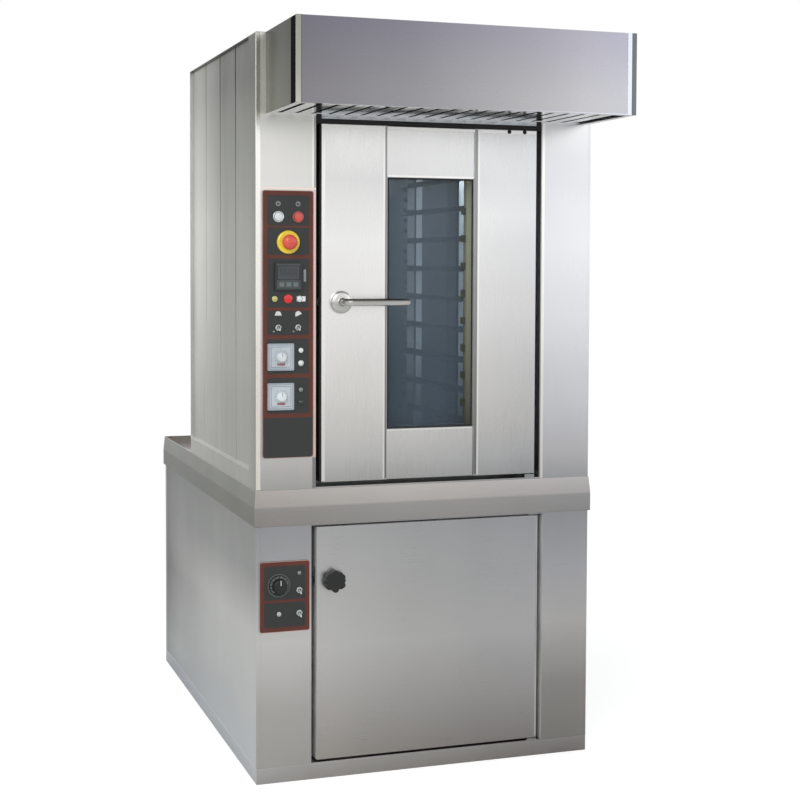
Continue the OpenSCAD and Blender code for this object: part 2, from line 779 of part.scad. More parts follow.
// Blocks of mineral wool between the liners and the casings
module insulation() color("khaki") at_front() {
    left = -half_w + panel_inset + panel_t + air;
    right = -left;
    liner_l = cx - chamber_w / 2 - sheet - air;
    liner_r = cx + chamber_w / 2 + sheet + air;
    side_y = chamber_front + corner_d + corner_slant;
    wool_back = oven_d - sheet - air;
    block([left, side_y, deck_z], [liner_l, wool_back, ceiling_z]);
    block([liner_r, side_y, deck_z], [right, wool_back, ceiling_z]);
    block([liner_l + 2 * air, chamber_front + corner_d, deck_z],
        [liner_r - 2 * air, wool_back, floor_z - sheet - air]);
    difference() {
        block([liner_l + 2 * air, chamber_front + corner_d, ceiling_z + sheet],
            [liner_r - 2 * air, wool_back, ceiling_z + sheet + wool_t]);
        rod_z(vent_x, vent_y, ceiling_z, ceiling_z + wool_t + 2 * cut + sheet, vent_r + air);
        block([cx - gear_half - air, rack_y - gear_half - air, ceiling_z],
            [cx + gear_half + air, rack_y + gear_half + air, ceiling_z + wool_t + 2 * cut + sheet]);
    }
    difference() {
        block([cx - fan_box_w / 2 - wool_t, oven_d, fan_z - fan_box_h / 2 - wool_t],
            [cx + fan_box_w / 2 + wool_t, fan_back + wool_t, fan_z + fan_box_h / 2 + wool_t]);
        block([cx - fan_box_w / 2 - air, oven_d - cut, fan_z - fan_box_h / 2 - air],
            [cx + fan_box_w / 2 + air, fan_back + air, fan_z + fan_box_h / 2 + air]);
        block([cx - motor_room, fan_back, fan_z - motor_room],
            [cx + motor_room, fan_back + wool_t + cut, fan_z + motor_room]);
    }
    // plinth, and round the proving chamber
    block([-half_w + 2 * sheet, 2 * sheet, sheet],
        [half_w - 2 * sheet, base_d - 2 * sheet, plinth_h]);
    block([cx - prover_half, prover_front + air, prover_z + prover_h + sheet + air],
        [cx + prover_half, prover_back, (base_top + deck_z) / 2]);
    block([cx + prover_half + sheet + air, prover_front + air, plinth_h],
        [half_w - sheet - air, prover_back, base_top]);
    block([-half_w + sheet + air, chamber_front + corner_d, plinth_h],
        [cx - prover_half - sheet - air, prover_back, base_top]);
}

corner_in = 4; // how far the chamber's front walls lie inside the door frame

// Plan of the chamber: the front corners are cut off for the controls
function chamber_plan(t) = let (f = oven_hole_half - corner_in - sheet, h = chamber_w / 2,
    y0 = chamber_front, y1 = y0 + corner_d, y2 = y1 + corner_slant, y3 = chamber_back) [
    [cx - f - t, y0 - t], [cx + f + t, y0 - t], [cx + f + t, y1], [cx + h + t, y2],
    [cx + h + t, y3 + t], [cx - h - t, y3 + t], [cx - h - t, y2], [cx - f - t, y1]];

module chamber_liner() color("silver") at_front() difference() {
    union() {
        translate([0, 0, floor_z - sheet])
            linear_extrude(chamber_h + 2 * sheet) polygon(chamber_plan(sheet));
        block([cx - oven_hole_half - sheet, oven_frame_d, oven_hole_low - sheet],
            [cx + oven_hole_half + sheet, chamber_front, oven_hole_top + sheet]);
    }
    translate([0, 0, floor_z]) linear_extrude(chamber_h) polygon(chamber_plan(0));
    block([cx - oven_mouth_half, oven_frame_d - cut, mouth_low],
        [cx + oven_mouth_half, chamber_front + cut, mouth_top]);
    block([cx - fan_box_w / 2 + sheet, chamber_back - cut, fan_z - fan_box_h / 2 + sheet],
        [cx + fan_box_w / 2 - sheet, fan_front + cut, fan_z + fan_box_h / 2 - sheet]);
    rod_z(cx, rack_y, ceiling_z - cut, ceiling_z + sheet + cut, bearing_r);
    rod_z(vent_x, vent_y, ceiling_z - cut, ceiling_z + sheet + cut, vent_r);
}

slot_w = 60;
slot_h = 14;
slot_pitch = 34;
slot_in = 50; // distance of the slots' middles from the fan box's sides
slot_end = 30; // plain stretch above and below the slots
duct_play = 4; // gap round the air panel
bar_t = 3; // thickness of the suction grille's bars
bar_count = 7;

module air_duct_panel() color("gray") at_front() {
    y0 = chamber_back - sheet;
    rows = floor((fan_box_h - 2 * slot_end) / slot_pitch);
    difference() {
        block([cx - chamber_w / 2 + duct_play, y0, floor_z + duct_play],
            [cx + chamber_w / 2 - duct_play, chamber_back, ceiling_z - duct_play]);
        rod_y(cx, fan_z, y0 - cut, chamber_back + cut, suction_r);
        for (side = [-1, 1], k = [0:rows - 1])
            translate([cx + side * (fan_box_w / 2 - slot_in), 0, fan_z + (k - (rows - 1) / 2) * slot_pitch])
                block([-slot_w / 2, y0 - cut, -slot_h / 2], [slot_w / 2, chamber_back + cut, slot_h / 2]);
    }
    // grille bars over the suction opening
    for (k = [1:bar_count]) {
        up = (k * 2 / (bar_count + 1) - 1) * suction_r;
        reach = sqrt(pow(suction_r, 2) - pow(up, 2)) + bar_t;
        block([cx - reach, y0 - bar_t, fan_z + up - bar_t], [cx + reach, y0, fan_z + up + bar_t]);
    }
}

module fan_box() color("darkgray") at_front() difference() {
    tray_box([cx - fan_box_w / 2, fan_front, fan_z - fan_box_h / 2],
        [cx + fan_box_w / 2, fan_back, fan_z + fan_box_h / 2], sheet);
    rod_y(cx, fan_z, fan_back - sheet - cut, fan_back + cut, shaft_hole_r);
}

ring_count = 3;
ring_lead = 15; // distance of the first ring from the fan wheel's disc
ring_gap = 30; // distance between two rings
lead_angle = 250; // where the first ring's terminal leaves it
lead_turn = 20;

module heating_elements() color("dimgray") at_front() for (k = [0:ring_count - 1]) {
    y = wheel_y - ring_lead - k * ring_gap;
    a = lead_angle + k * lead_turn;
    r = fan_r + ring_room + (ring_count - 1 - k) * ring_step;
    translate([cx, y, fan_z]) rotate([90, 0, 0]) rotate_extrude() translate([r, 0]) circle(tube_r);
    rod_y(cx + r * cos(a), fan_z + r * sin(a), y, fan_back - sheet, tube_r - 0.5);
}

cascade_in = 60; // distance of the cascade's ends from the fan box's sides
cascade_gap = 10; // distance of the cascade from the fan box's front
cascade_d = 60;
cascade_h = 110;
shelf_count = 4;
shelf_pitch = 26;
shelf_t = 6;
shelf_d = 36;
shelf_step = 5; // how far each higher shelf lies further back
spray_r = 8; // radius of the water pipe over the cascade
spray_up = 12; // height of the water pipe over the cascade's ends

// Water runs from the pipe down over the shelves
module steam_generator() color("dimgray") at_front() {
    half = fan_box_w / 2 - cascade_in;
    translate([cx, fan_front + cascade_gap, fan_z - fan_box_h / 2 + sheet]) {
        for (side = [-1, 1]) {
            block([side * half - sheet, 0, 0], [side * half + sheet, cascade_d, cascade_h]);
            block([side * half - sheet, cascade_d / 2 - spray_r - shelf_t, cascade_h - cut],
                [side * half + sheet, cascade_d / 2 + spray_r + shelf_t, cascade_h + spray_up + spray_r]);
        }
        for (k = [0:shelf_count - 1]) translate([0, (k + 1) * shelf_step, (k + 0.5) * shelf_pitch])
            block([-half, 0, 0], [half, shelf_d, shelf_t]);
        rod_x(cascade_d / 2, cascade_h + spray_up, -half, half, spray_r);
    }
}

lamp_flange_r = 46;
lamp_flange_t = 6;
lamp_glass_r = 34;
lamp_glass_t = 20;

module chamber_lamps() color("white") at_front() for (side = [-1, 1]) {
    x = cx + side * lamp_x;
    rod_z(x, lamp_y, ceiling_z - lamp_flange_t, ceiling_z, lamp_flange_r);
    rod_z(x, lamp_y, ceiling_z - lamp_flange_t - lamp_glass_t, ceiling_z - lamp_flange_t, lamp_glass_r);
}

// ---- rack drive and fan drive ----

// A motor's terminal box, standing on its middle line at z = 0
module terminal_box(r) {
    block([-box_half, -box_half, r - box_sunk], [box_half, box_half, r + box_out]);
}

module gearmotor() color("steelblue") at_front() translate([cx, rack_y, 0]) difference() {
    union() {
        block([-gear_half, -gear_half, gear_low], [gear_half, gear_half, gear_low + gear_h]);
        for (x = [-1, 1], y = [-1, 1]) translate([x, y, 0] * (gear_half - post_in))
            rod_z(0, 0, ceiling_z + sheet, gear_low, stand_r);
        rod_x(0, gear_low + gear_h / 2, -gear_half - gear_motor_l, -gear_half, gear_motor_r);
        translate([-gear_half - gear_motor_l / 2, 0, gear_low + gear_h / 2]) terminal_box(gear_motor_r);
    }
    rod_z(0, 0, gear_low - cut, gear_low + gear_bore_d, shaft_r + running);
}

module rack_bearings() color("goldenrod") at_front() translate([cx, rack_y, 0]) {
    // flanged bush in the ceiling
    difference() {
        union() {
            rod_z(0, 0, ceiling_z - bush_flange_t, ceiling_z, bearing_r + bush_flange);
            rod_z(0, 0, ceiling_z, ceiling_z + bush_h, bearing_r);
        }
        rod_z(0, 0, ceiling_z - bush_flange_t - cut, ceiling_z + bush_h + cut, shaft_r + running);
    }
    // cup on the floor
    difference() {
        union() {
            rod_z(0, 0, floor_z, floor_z + bush_flange_t, bearing_r + bush_flange);
            rod_z(0, 0, floor_z + bush_flange_t, floor_z + cup_h, bearing_r);
        }
        rod_z(0, 0, floor_z + cup_floor, floor_z + cup_h + cut, pivot_r + running);
    }
}

module fan_motor() color("steelblue") at_front() translate([cx, motor_front, fan_z]) difference() {
    union() {
        block([-motor_r - motor_foot, 0, -motor_r - motor_foot],
            [motor_r + motor_foot, motor_foot, motor_r + motor_foot]);
        for (x = [-motor_r, motor_r], z = [-motor_r, motor_r])
            rod_y(x, z, fan_back - motor_front, 0, stand_r);
        rod_y(0, 0, motor_foot, motor_foot + motor_l, motor_r);
        translate([0, motor_foot + motor_l / 2, 0]) terminal_box(motor_r);
    }
    rod_y(0, 0, -cut, motor_bore_d, fan_shaft_r + running);
}

wheel_hub_r = 26;
wheel_hub_l = 22;
blade_t = 3;
blade_root = 0.62; // where a blade begins, as a share of the wheel's radius

module fan_wheel() color("lightgray") at_front() translate([cx, wheel_y, fan_z]) {
    blade_in = fan_r * blade_root;
    rod_y(0, 0, 0, wheel_t, fan_r);
    rod_y(0, 0, -wheel_hub_l, 0, wheel_hub_r);
    rod_y(0, 0, wheel_t, motor_front - wheel_y + motor_bore_d - shaft_play, fan_shaft_r);
    for (k = [0:blade_count - 1]) rotate([0, k * 360 / blade_count, 0])
        block([blade_in, -blade_w, -blade_t / 2], [fan_r - blade_t, 0, blade_t / 2]);
    difference() {
        rod_y(0, 0, -blade_w - blade_t, -blade_w, fan_r);
        rod_y(0, 0, -blade_w - blade_t - cut, -blade_w + cut, blade_in + blade_t);
    }
}

louvre_rows = 10;
louvre_pitch = 28;
louvre_w = 120;
louvre_h = 9;
louvre_in = 60; // distance of the louvres from the housing's middle
louvre_low = 500; // height of the lowest louvre above the deck

module rear_housing() color("silver") at_front() {
    difference() {
        block([-rear_half, oven_d, deck_z], [rear_half, rear_d, rear_top]);
        block([-rear_half + sheet, oven_d - cut, deck_z - cut],
            [rear_half - sheet, rear_d - sheet, rear_top - sheet]);
        for (row = [0:louvre_rows - 1], x = [-louvre_in - louvre_w, louvre_in])
            translate([x, rear_d - sheet - cut, deck_z + louvre_low + row * louvre_pitch])
                cube([louvre_w, sheet + 2 * cut, louvre_h]);
        rod_y(water_x, service_z, rear_d - sheet - cut, rear_d + cut, water_r);
        rod_y(gland_x, service_z, rear_d - sheet - cut, rear_d + cut, gland_r + gland_wall);
    }
}

nipple_wall = 3;
nipple_l = 24; // how far the water nipple stands out of the rear housing
gland_l = 20;
inlet_flange = 5; // how far the flanges stand out round the inlets
inlet_flange_t = 6;

// A tube through the housing's back, with a flange against it
module inlet(x, outer, bore, length) difference() {
    union() {
        rod_y(x, service_z, rear_d - inlet_in, rear_d + length, outer);
        rod_y(x, service_z, rear_d, rear_d + inlet_flange_t, outer + inlet_flange);
    }
    rod_y(x, service_z, rear_d - inlet_in - cut, rear_d + length + cut, bore);
}

module service_inlets() color("goldenrod") at_front() {
    inlet(water_x, water_r, water_r - nipple_wall, nipple_l);
    inlet(gland_x, gland_r + gland_wall, gland_r, gland_l);
}

screw_edge = 12; // distance of a screw from its panel's edge
screw_end = 40; // distance of a row's last screws from the panel's ends
screw_t = 3;

// A row of screws up a panel, from height low to high
module screw_row(x, y, low, high, count) {
    step = (high - low - 2 * screw_end) / (count - 1);
    for (k = [0:count - 1]) rod_y(x, low + screw_end + k * step, y, y + screw_t, screw_r);
}

module panel_screws() color("silver") at_front() for (side = [-1, 1]) {
    screw_row(side * (half_w - screw_edge), base_d, plinth_h, base_top, 5);
    screw_row(side * (half_w - screw_edge), oven_d, rim_top, roof_z, 6);
    screw_row(side * (rear_half - screw_edge), rear_d, deck_z, rear_top, 4);
}

// ---- hood ----

hood_x0 = -half_w + hood_left;
hood_x1 = half_w - hood_right;

module hood_shell() color("silver") at_front() difference() {
    block([hood_x0, -hood_d, hood_low], [hood_x1, 0, body_h]);
    block([hood_x0 + sheet, -hood_d + sheet, hood_low - cut], [hood_x1 - sheet, cut, body_h - sheet]);
}

frame_w = 22; // width of the filter's frame
slat_in = 1; // how far the slats lie inside the frame's faces

module hood_filter() color("gainsboro") at_front() {
    low = [hood_x0 + sheet, -hood_d + sheet, hood_low + filter_up];
    high = [hood_x1 - sheet, 0, low[2] + filter_t];
    slats = floor((high[0] - low[0] - 2 * frame_w) / slat_pitch);
    first = (low[0] + high[0]) / 2 - (slats - 1) * slat_pitch / 2;
    difference() {
        block(low, high);
        block(low + [frame_w, frame_w, -cut], high + [-frame_w, -frame_w, cut]);
    }
    for (k = [0:slats - 1])
        translate([first + k * slat_pitch, 0, 0])
            block([-slat_w / 2, low[1] + frame_w - cut, low[2] + slat_in],
                [slat_w / 2, high[1] - frame_w + cut, high[2] - slat_in]);
}

// ---- controls ----

face = -fascia_t; // depth of the fascias' faces
toggle_tilt = 14; // half of a toggle's travel, in degrees
bush_wall_t = 1.2; // wall of a toggle's bush
bush_out = 7; // how far a toggle's bush stands out of the fascia
ball_gap = 0.3; // gap between a toggle's ball and its bush
toggle_thin = 1.6; // radius of a toggle's stem
toggle_tip = 2.6; // radius of a toggle's end
bezel_t = 4;
switch_d = 34; // depth of the switches behind the front plane
frame_lip = 3; // how far a frame covers the fascia round its case
case_gap = 1; // gap between an instrument's case and the fascia
timer_d = 60; // depth of a timer behind the front plane
controller_d = 70; // depth of the controller behind the front plane
display_half = 30;
display_low = -8; // height of the display's edges, from the controller's middle
display_high = 28;
display_d = 1.5;
timer_bore_d = 20;
timer_knob_t = 14;
mark_half = 2; // half the width of a knob's pointer
mark_out = 3; // how far it stands out of the knob
lamp_out = 4;
lamp_d = 18; // depth of a lamp behind the front plane
lamp_lip = 2; // how far a lamp's lens covers the fascia round it
mushroom_t = 12;
crown_t = 6; // thickness of the mushroom head's raised middle
crown_in = 6;
thermostat_half = 22;
thermostat_d = 45; // depth of the thermostat behind the front plane
dial_t = 5; // thickness of the dial's skirt
dial_grip_t = 17; // length of the dial's grip
dial_grip = 0.68; // radius of the grip, as a share of the dial's

instrument_places = [[fascia_x, controller_z], [timer_x, timer_high_z], [timer_x, timer_low_z]];
lamp_pitch = 36.5; // distance between two pilot lamps
side_up = 17; // half the height between the lamps beside a timer
lamp_places = concat([for (k = [-1:1]) [fascia_x + k * lamp_pitch, lamps_z]],
    [for (z = [timer_high_z, timer_low_z], k = [-1, 1]) [side_item_x, z + k * side_up]]);
low_lamp_places = [[low_item_x, low_lamp_z], [dial_x, low_switch_low]];
switch_places = [[fascia_x - pair_half, toggles_z], [fascia_x + pair_half, toggles_z],
    [low_item_x, low_switch_high], [low_item_x, low_switch_low]];

module control_fascia() color("dimgray") at_front() difference() {
    round_plate(fascia_x0, fascia_x1, fascia_low, fascia_top, face, 0, fascia_round);
    for (x = [-pair_half, pair_half]) {
        rod_y(fascia_x + x, buttons_z, face - cut, cut, barrel_hole_r);
        rod_y(fascia_x + x, toggles_z, face - cut, cut, bush_r);
    }
    rod_y(fascia_x, estop_z, face - cut, cut, collar_neck_r);
    for (place = lamp_places) rod_y(place[0], place[1], face - cut, cut, lamp_r - lamp_lip);
    for (place = instrument_places) translate([place[0], 0, place[1]])
        block([-timer_s / 2 + frame_lip, face - cut, -timer_s / 2 + frame_lip],
            [timer_s / 2 - frame_lip, cut, timer_s / 2 - frame_lip]);
}

// The case behind the fascia and the frame in front of it
module instrument(place, depth) {
    half = timer_s / 2;
    back = half - frame_lip - case_gap;
    translate([place[0], 0, place[1]]) {
        block([-half, face - timer_t, -half], [half, face, half]);
        block([-back, face, -back], [back, depth, back]);
    }
}

module digital_controller() color("black") at_front() difference() {
    instrument(instrument_places[0], controller_d);
    block([fascia_x - display_half, face - timer_t - cut, controller_z + display_low],
        [fascia_x + display_half, face - timer_t + display_d, controller_z + display_high]);
}

// The two timers, and the thermostat's body behind the lower fascia
module instrument_cases() color("gainsboro") at_front() {
    for (place = [instrument_places[1], instrument_places[2]]) difference() {
        instrument(place, timer_d);
        rod_y(place[0], place[1], face - timer_t - cut, timer_bore_d, knob_stem_r + control_gap);
    }
    translate([dial_x, 0, dial_z]) difference() {
        block([-thermostat_half, 0, -thermostat_half], [thermostat_half, thermostat_d, thermostat_half]);
        rod_y(0, 0, -cut, timer_bore_d + 2, dial_hole_r);
    }
}

module timer_knob(z) at_front() translate([timer_x, face - timer_t - control_gap, z]) {
    rod_y(0, 0, -timer_knob_t, 0, timer_knob_r);
    rod_y(0, 0, 0, timer_d / 2, knob_stem_r);
    block([-mark_half, -timer_knob_t - mark_out, -timer_knob_r + mark_half],
        [mark_half, -timer_knob_t + cut, timer_knob_r - mark_half]);
}
module timer_knob_upper() color("white") timer_knob(timer_high_z);
module timer_knob_lower() color("white") timer_knob(timer_low_z);

module indicator_lamps() color("gold") at_front() for (place = concat(lamp_places, low_lamp_places)) {
    rod_y(place[0], place[1], face - lamp_out, face, lamp_r);
    rod_y(place[0], place[1], face, lamp_d, lamp_r - lamp_lip - running);
}

module estop_collar() color("yellow") at_front() difference() {
    union() {
        rod_y(fascia_x, estop_z, face - collar_t, face, collar_r);
        rod_y(fascia_x, estop_z, face, switch_d, collar_neck_r - running);
    }
    rod_y(fascia_x, estop_z, face - collar_t - cut, switch_d + cut, estop_stem_r + control_gap);
}

module estop_head() color("red") at_front()
    translate([fascia_x, face - collar_t - mushroom_travel, estop_z]) {
        rod_y(0, 0, -mushroom_t, 0, mushroom_r);
        rod_y(0, 0, -mushroom_t - crown_t, -mushroom_t, mushroom_r - crown_in);
        rod_y(0, 0, 0, switch_d, estop_stem_r);
    }

// The push-buttons' rings, and the bushes of the small switches
module switch_bezels() color("silver") at_front() {
    for (x = [-pair_half, pair_half]) difference() {
        union() {
            rod_y(fascia_x + x, buttons_z, face - bezel_t, face, bezel_r);
            rod_y(fascia_x + x, buttons_z, face, switch_d, barrel_hole_r - running);
        }
        rod_y(fascia_x + x, buttons_z, face - bezel_t - cut, switch_d + cut, button_r + control_gap);
    }
    for (place = switch_places) difference() {
        union() {
            rod_y(place[0], place[1], face - bush_out, bush_d, bush_r - running);
            rod_y(place[0], place[1], face - bush_wall_t * 2, face, bush_r + 3);
        }
        rod_y(place[0], place[1], face - bush_out - cut, bush_d - 2, ball_r + ball_gap);
    }
}

module push_button(x) at_front()
    rod_y(x, buttons_z, face - bezel_t - button_out, switch_d / 2, button_r);
module start_button() color("white") push_button(fascia_x - pair_half);
module stop_button() color("red") push_button(fascia_x + pair_half);

// A bat lever on a ball, leaning down by half of its travel
module toggle(place) at_front() translate([place[0], 0, place[1]]) {
    reach = bush_out - face + toggle_l - 2;
    sphere(r = ball_r);
    rotate([toggle_tilt, 0, 0]) {
        rod_y(0, 0, -reach, 0, toggle_thin);
        translate([0, -reach, 0]) sphere(r = toggle_tip);
    }
}
module toggle_left() color("silver") toggle(switch_places[0]);
module toggle_right() color("silver") toggle(switch_places[1]);
module prover_switch_upper() color("silver") toggle(switch_places[2]);
module prover_switch_lower() color("silver") toggle(switch_places[3]);

module thermostat_dial() color("black") at_front() translate([dial_x, face - control_gap, dial_z]) {
    grip_r = dial_r * dial_grip;
    rod_y(0, 0, -dial_t, 0, dial_r);
    rod_y(0, 0, -dial_t - dial_grip_t, -dial_t, grip_r);
    rod_y(0, 0, 0, timer_bore_d, dial_hole_r - control_gap);
    block([-mark_half, -dial_t - dial_grip_t - cut, grip_r / 3],
        [mark_half, -dial_t - dial_grip_t + cut, grip_r - mark_half]);
}

// ---- door hardware fixed to the frames ----

keeper_t = 3;
keeper_half = 16;
keeper_up = 30; // half the height of a keeper
bracket_cut = 4; // how much narrower the bracket is on the reveal's side

// A bracket on the frame, from z0 to z1, and its pin in the door
module hinge(pivot, z0, z1, pin0, pin1) {
    block([pivot[0] - bracket_w / 2, sheet, z0],
        [pivot[0] + bracket_w / 2 - bracket_cut, sheet + bracket_d, z1]);
    rod_z(pivot[0], pivot[1], pin0, pin1, pin_r);
}
module hinge_low(pivot, frame_z, door_z)
    hinge(pivot, frame_z, door_z - bracket_gap, door_z - bracket_gap - cut, door_z + pin_l);
module hinge_top(pivot, frame_z, door_z)
    hinge(pivot, door_z + bracket_gap, frame_z, door_z - pin_l, door_z + bracket_gap + cut);
module keeper(x, y, z)
    block([x, y - keeper_half, z - keeper_up], [x + keeper_t, y + keeper_half, z + keeper_up]);

module door_hardware() color("silver") at_front() {
    hinge_low(oven_pivot, oven_hole_low, oven_door_low);
    difference() {
        hinge_top(oven_pivot, oven_hole_top, oven_door_top);
        // the lintel strip and its lug stand here
        block([oven_pivot[0] - bracket_w, 0, lintel_low - air],
            [oven_pivot[0] + bracket_w, lug_d + 2 * air, oven_hole_top + cut]);
    }
    hinge_low(base_pivot, base_hole_low, base_door_low);
    hinge_top(base_pivot, base_hole_top, base_door_top);
    keeper(cx - oven_hole_half, latch_y, lever_z);
    keeper(cx - base_hole_half, cam_y + 3, knob_z);
}

// ---- oven door ----

door_x0 = cx - oven_door_half;
door_x1 = cx + oven_door_half;
pane_x0 = cx - window_half;
pane_x1 = cx + window_half;

stile_return = 16; // depth of a stile's inner fold
pin_end = 2; // room past the end of a hinge pin

module pin_bores(pivot, low, top) {
    rod_z(pivot[0], pivot[1], low - cut, low + pin_l + pin_end, pin_r + running);
    rod_z(pivot[0], pivot[1], top - pin_l - pin_end, top + cut, pin_r + running);
}

module pin_bushes(pivot, low, top) {
    rod_z(pivot[0], pivot[1], low + sheet / 2, low + pin_l + 2 * pin_end, pin_r + bush_wall);
    rod_z(pivot[0], pivot[1], top - pin_l - 2 * pin_end, top - sheet / 2, pin_r + bush_wall);
}

// Each stile is a folded cassette: face, outer edge and short inner return
module door_stiles() color("gainsboro") at_front() difference() {
    union() for (side = [0, 1]) {
        x0 = side == 0 ? door_x0 : pane_x1;
        x1 = side == 0 ? pane_x0 : door_x1;
        edge = side == 0 ? x0 : x1 - sheet;
        inner = side == 0 ? x1 - sheet : x0;
        block([x0, 0, oven_door_low], [x1, sheet, oven_door_top]);
        block([edge, 0, oven_door_low], [edge + sheet, skin_back, oven_door_top]);
        block([inner, 0, oven_door_low], [inner + sheet, stile_return, oven_door_top]);
        for (z = [oven_door_low, oven_door_top - sheet])
            block([x0, 0, z], [x1, skin_back, z + sheet]);
        if (side == 1) pin_bushes(oven_pivot, oven_door_low, oven_door_top);
    }
    pin_bores(oven_pivot, oven_door_low, oven_door_top);
    block([door_x0 - cut, latch_y - bolt_s / 2 - control_gap, lever_z - bolt_s / 2 - control_gap],
        [door_x0 + sheet + cut, latch_y + bolt_s / 2 + control_gap, lever_z + bolt_s / 2 + control_gap]);
    rod_y(lever_x, lever_z, -cut, sheet + cut, spindle_r + running);
}

module door_centre_panels() color("gainsboro") at_front() {
    for (span = [[oven_door_low, window_low], [window_top, oven_door_top]]) {
        block([pane_x0, centre_inset, span[0]], [pane_x1, centre_inset + sheet, span[1]]);
        edge = span[0] == oven_door_low ? span[0] : span[1] - sheet;
        block([pane_x0, centre_inset, edge], [pane_x1, skin_back, edge + sheet]);
    }
}

reveal_y = centre_inset + sheet;
latch_room = 24; // half the height of the latch's pocket in the wool
bush_room = 34; // size of the hinge bushes' pockets in the wool
pane_gap = 2; // gap between the front pane and the reveal's front

// Back sheet of the door with the tube that lines the window
module door_liner() color("silver") at_front() {
    difference() {
        block([door_x0, skin_back, oven_door_low], [door_x1, oven_door_t, oven_door_top]);
        block([pane_x0, skin_back - cut, window_low], [pane_x1, oven_door_t + cut, window_top]);
    }
    difference() {
        block([pane_x0, reveal_y, window_low], [pane_x1, oven_door_t, window_top]);
        block([pane_x0 + sheet, reveal_y - cut, window_low + sheet],
            [pane_x1 - sheet, oven_door_t + cut, window_top - sheet]);
    }
}

// Wool between the door's sheets, with room for the latch and the hinge bushes
module door_insulation() color("khaki") at_front() difference() {
    block([door_x0 + 2 * sheet, stile_return + sheet, oven_door_low + 2 * sheet],
        [door_x1 - 2 * sheet, skin_back, oven_door_top - 2 * sheet]);
    block([pane_x0, 0, window_low], [pane_x1, oven_door_t, window_top]);
    block([door_x0, latch_y - latch_room, lever_z - latch_room],
        [lever_x + latch_room, latch_y + latch_room, lever_z + latch_room]);
    rod_y(lever_x, lever_z, 0, latch_y, spindle_r + air);
    for (span = [[oven_door_low, oven_door_low + bush_room], [oven_door_top - bush_room, oven_door_top]])
        block([oven_pivot[0] - pin_r - 2 * bush_wall, 0, span[0]], [door_x1, bush_room, span[1]]);
}

module window_glass() color("slategray", 0.5) at_front() {
    for (y = [reveal_y + pane_gap, skin_back - glass_t])
        block([pane_x0 + sheet, y, window_low + sheet], [pane_x1 - sheet, y + glass_t, window_top - sheet]);
}

seal_in = 4; // how far a seal lies inside its door's edge
edge_in = 8; // how far the dark strip lies inside the door's faces

module door_gasket() color("black") at_front() {
    ring_xz([door_x0 + seal_in, oven_door_t, oven_door_low + seal_in],
        [door_x1 - seal_in, oven_door_t + seal_t, oven_door_top - seal_in], seal_w, seal_w);
    // dark strip along the left edge, with a gap for the latch bolt
    difference() {
        block([door_x0 - edge_t, edge_in, oven_door_low], [door_x0, oven_door_t - edge_in, oven_door_top]);
        block([door_x0 - edge_t - cut, latch_y - bolt_s, lever_z - bolt_s],
            [door_x0 + cut, latch_y + bolt_s, lever_z + bolt_s]);
    }
}

neck_t = 6; // the rose's raised neck
neck_wall = 5;

module handle_rose() color("silver") at_front() difference() {
    union() {
        rod_y(lever_x, lever_z, -rose_t, 0, rose_r);
        rod_y(lever_x, lever_z, -rose_t - neck_t, -rose_t, lever_r + neck_wall);
    }
    rod_y(lever_x, lever_z, -rose_t - neck_t - cut, cut, lever_r + running);
}

// Spindle, bend, straight grip and round end of the lever
module door_lever() color("silver") at_front() {
    bend_y = -lever_stand + lever_bend;
    rod_y(lever_x, lever_z, bend_y, -control_gap, lever_r);
    rod_y(lever_x, lever_z, -cut, latch_y - bolt_s / 2 - 2 * air, spindle_r);
    translate([lever_x + lever_bend, bend_y, lever_z])
        rotate([0, 0, 180]) rotate_extrude(angle = 90) translate([lever_bend, 0]) circle(lever_r);
    rod_x(-lever_stand, lever_z, lever_x + lever_bend, lever_x + lever_l - lever_r, lever_r);
    translate([lever_x + lever_l - lever_r, -lever_stand, lever_z]) sphere(r = lever_r);
}

bolt_chamfer = 8;

module latch_bolt() color("gray") at_front() difference() {
    block([door_x0 - bolt_out, latch_y - bolt_s / 2, lever_z - bolt_s / 2],
        [door_x0 - bolt_out + bolt_l, latch_y + bolt_s / 2, lever_z + bolt_s / 2]);
    // chamfer that lets the bolt ride over the keeper
    translate([door_x0 - bolt_out, latch_y - bolt_s / 2, lever_z]) rotate([0, 0, 45])
        cube([bolt_chamfer, bolt_chamfer, bolt_s + 2 * cut], center = true);
}

// ---- lower door ----

base_x0 = cx - base_door_half;
base_x1 = cx + base_door_half;

module prover_door_panel() color("silver") at_front() difference() {
    union() {
        difference() {
            block([base_x0, 0, base_door_low], [base_x1, base_door_t, base_door_top]);
            block([base_x0 + sheet, sheet, base_door_low + sheet],
                [base_x1 - sheet, base_door_t - sheet, base_door_top - sheet]);
        }
        pin_bushes(base_pivot, base_door_low, base_door_top);
    }
    pin_bores(base_pivot, base_door_low, base_door_top);
    rod_y(knob_x, knob_z, -cut, sheet + cut, spindle_r + running);
    block([base_x0 - cut, cam_y - cam_t / 2 - air, knob_z - cam_w / 2 - air],
        [base_x0 + sheet + cut, cam_y + cam_t / 2 + air, knob_z + cam_rise + air]);
}

module prover_door_gasket() color("black") at_front()
    ring_xz([base_x0 + seal_in, base_door_t, base_door_low + seal_in],
        [base_x1 - seal_in, base_door_t + seal_t, base_door_top - seal_in], seal_w, seal_w);

knob_foot_t = 8; // the knob's foot, between its lobes and the door
knob_foot_r = 12;
core_share = 0.72; // radius of the knob's core, as a share of its own
lobe_share = 0.3; // radius of a lobe

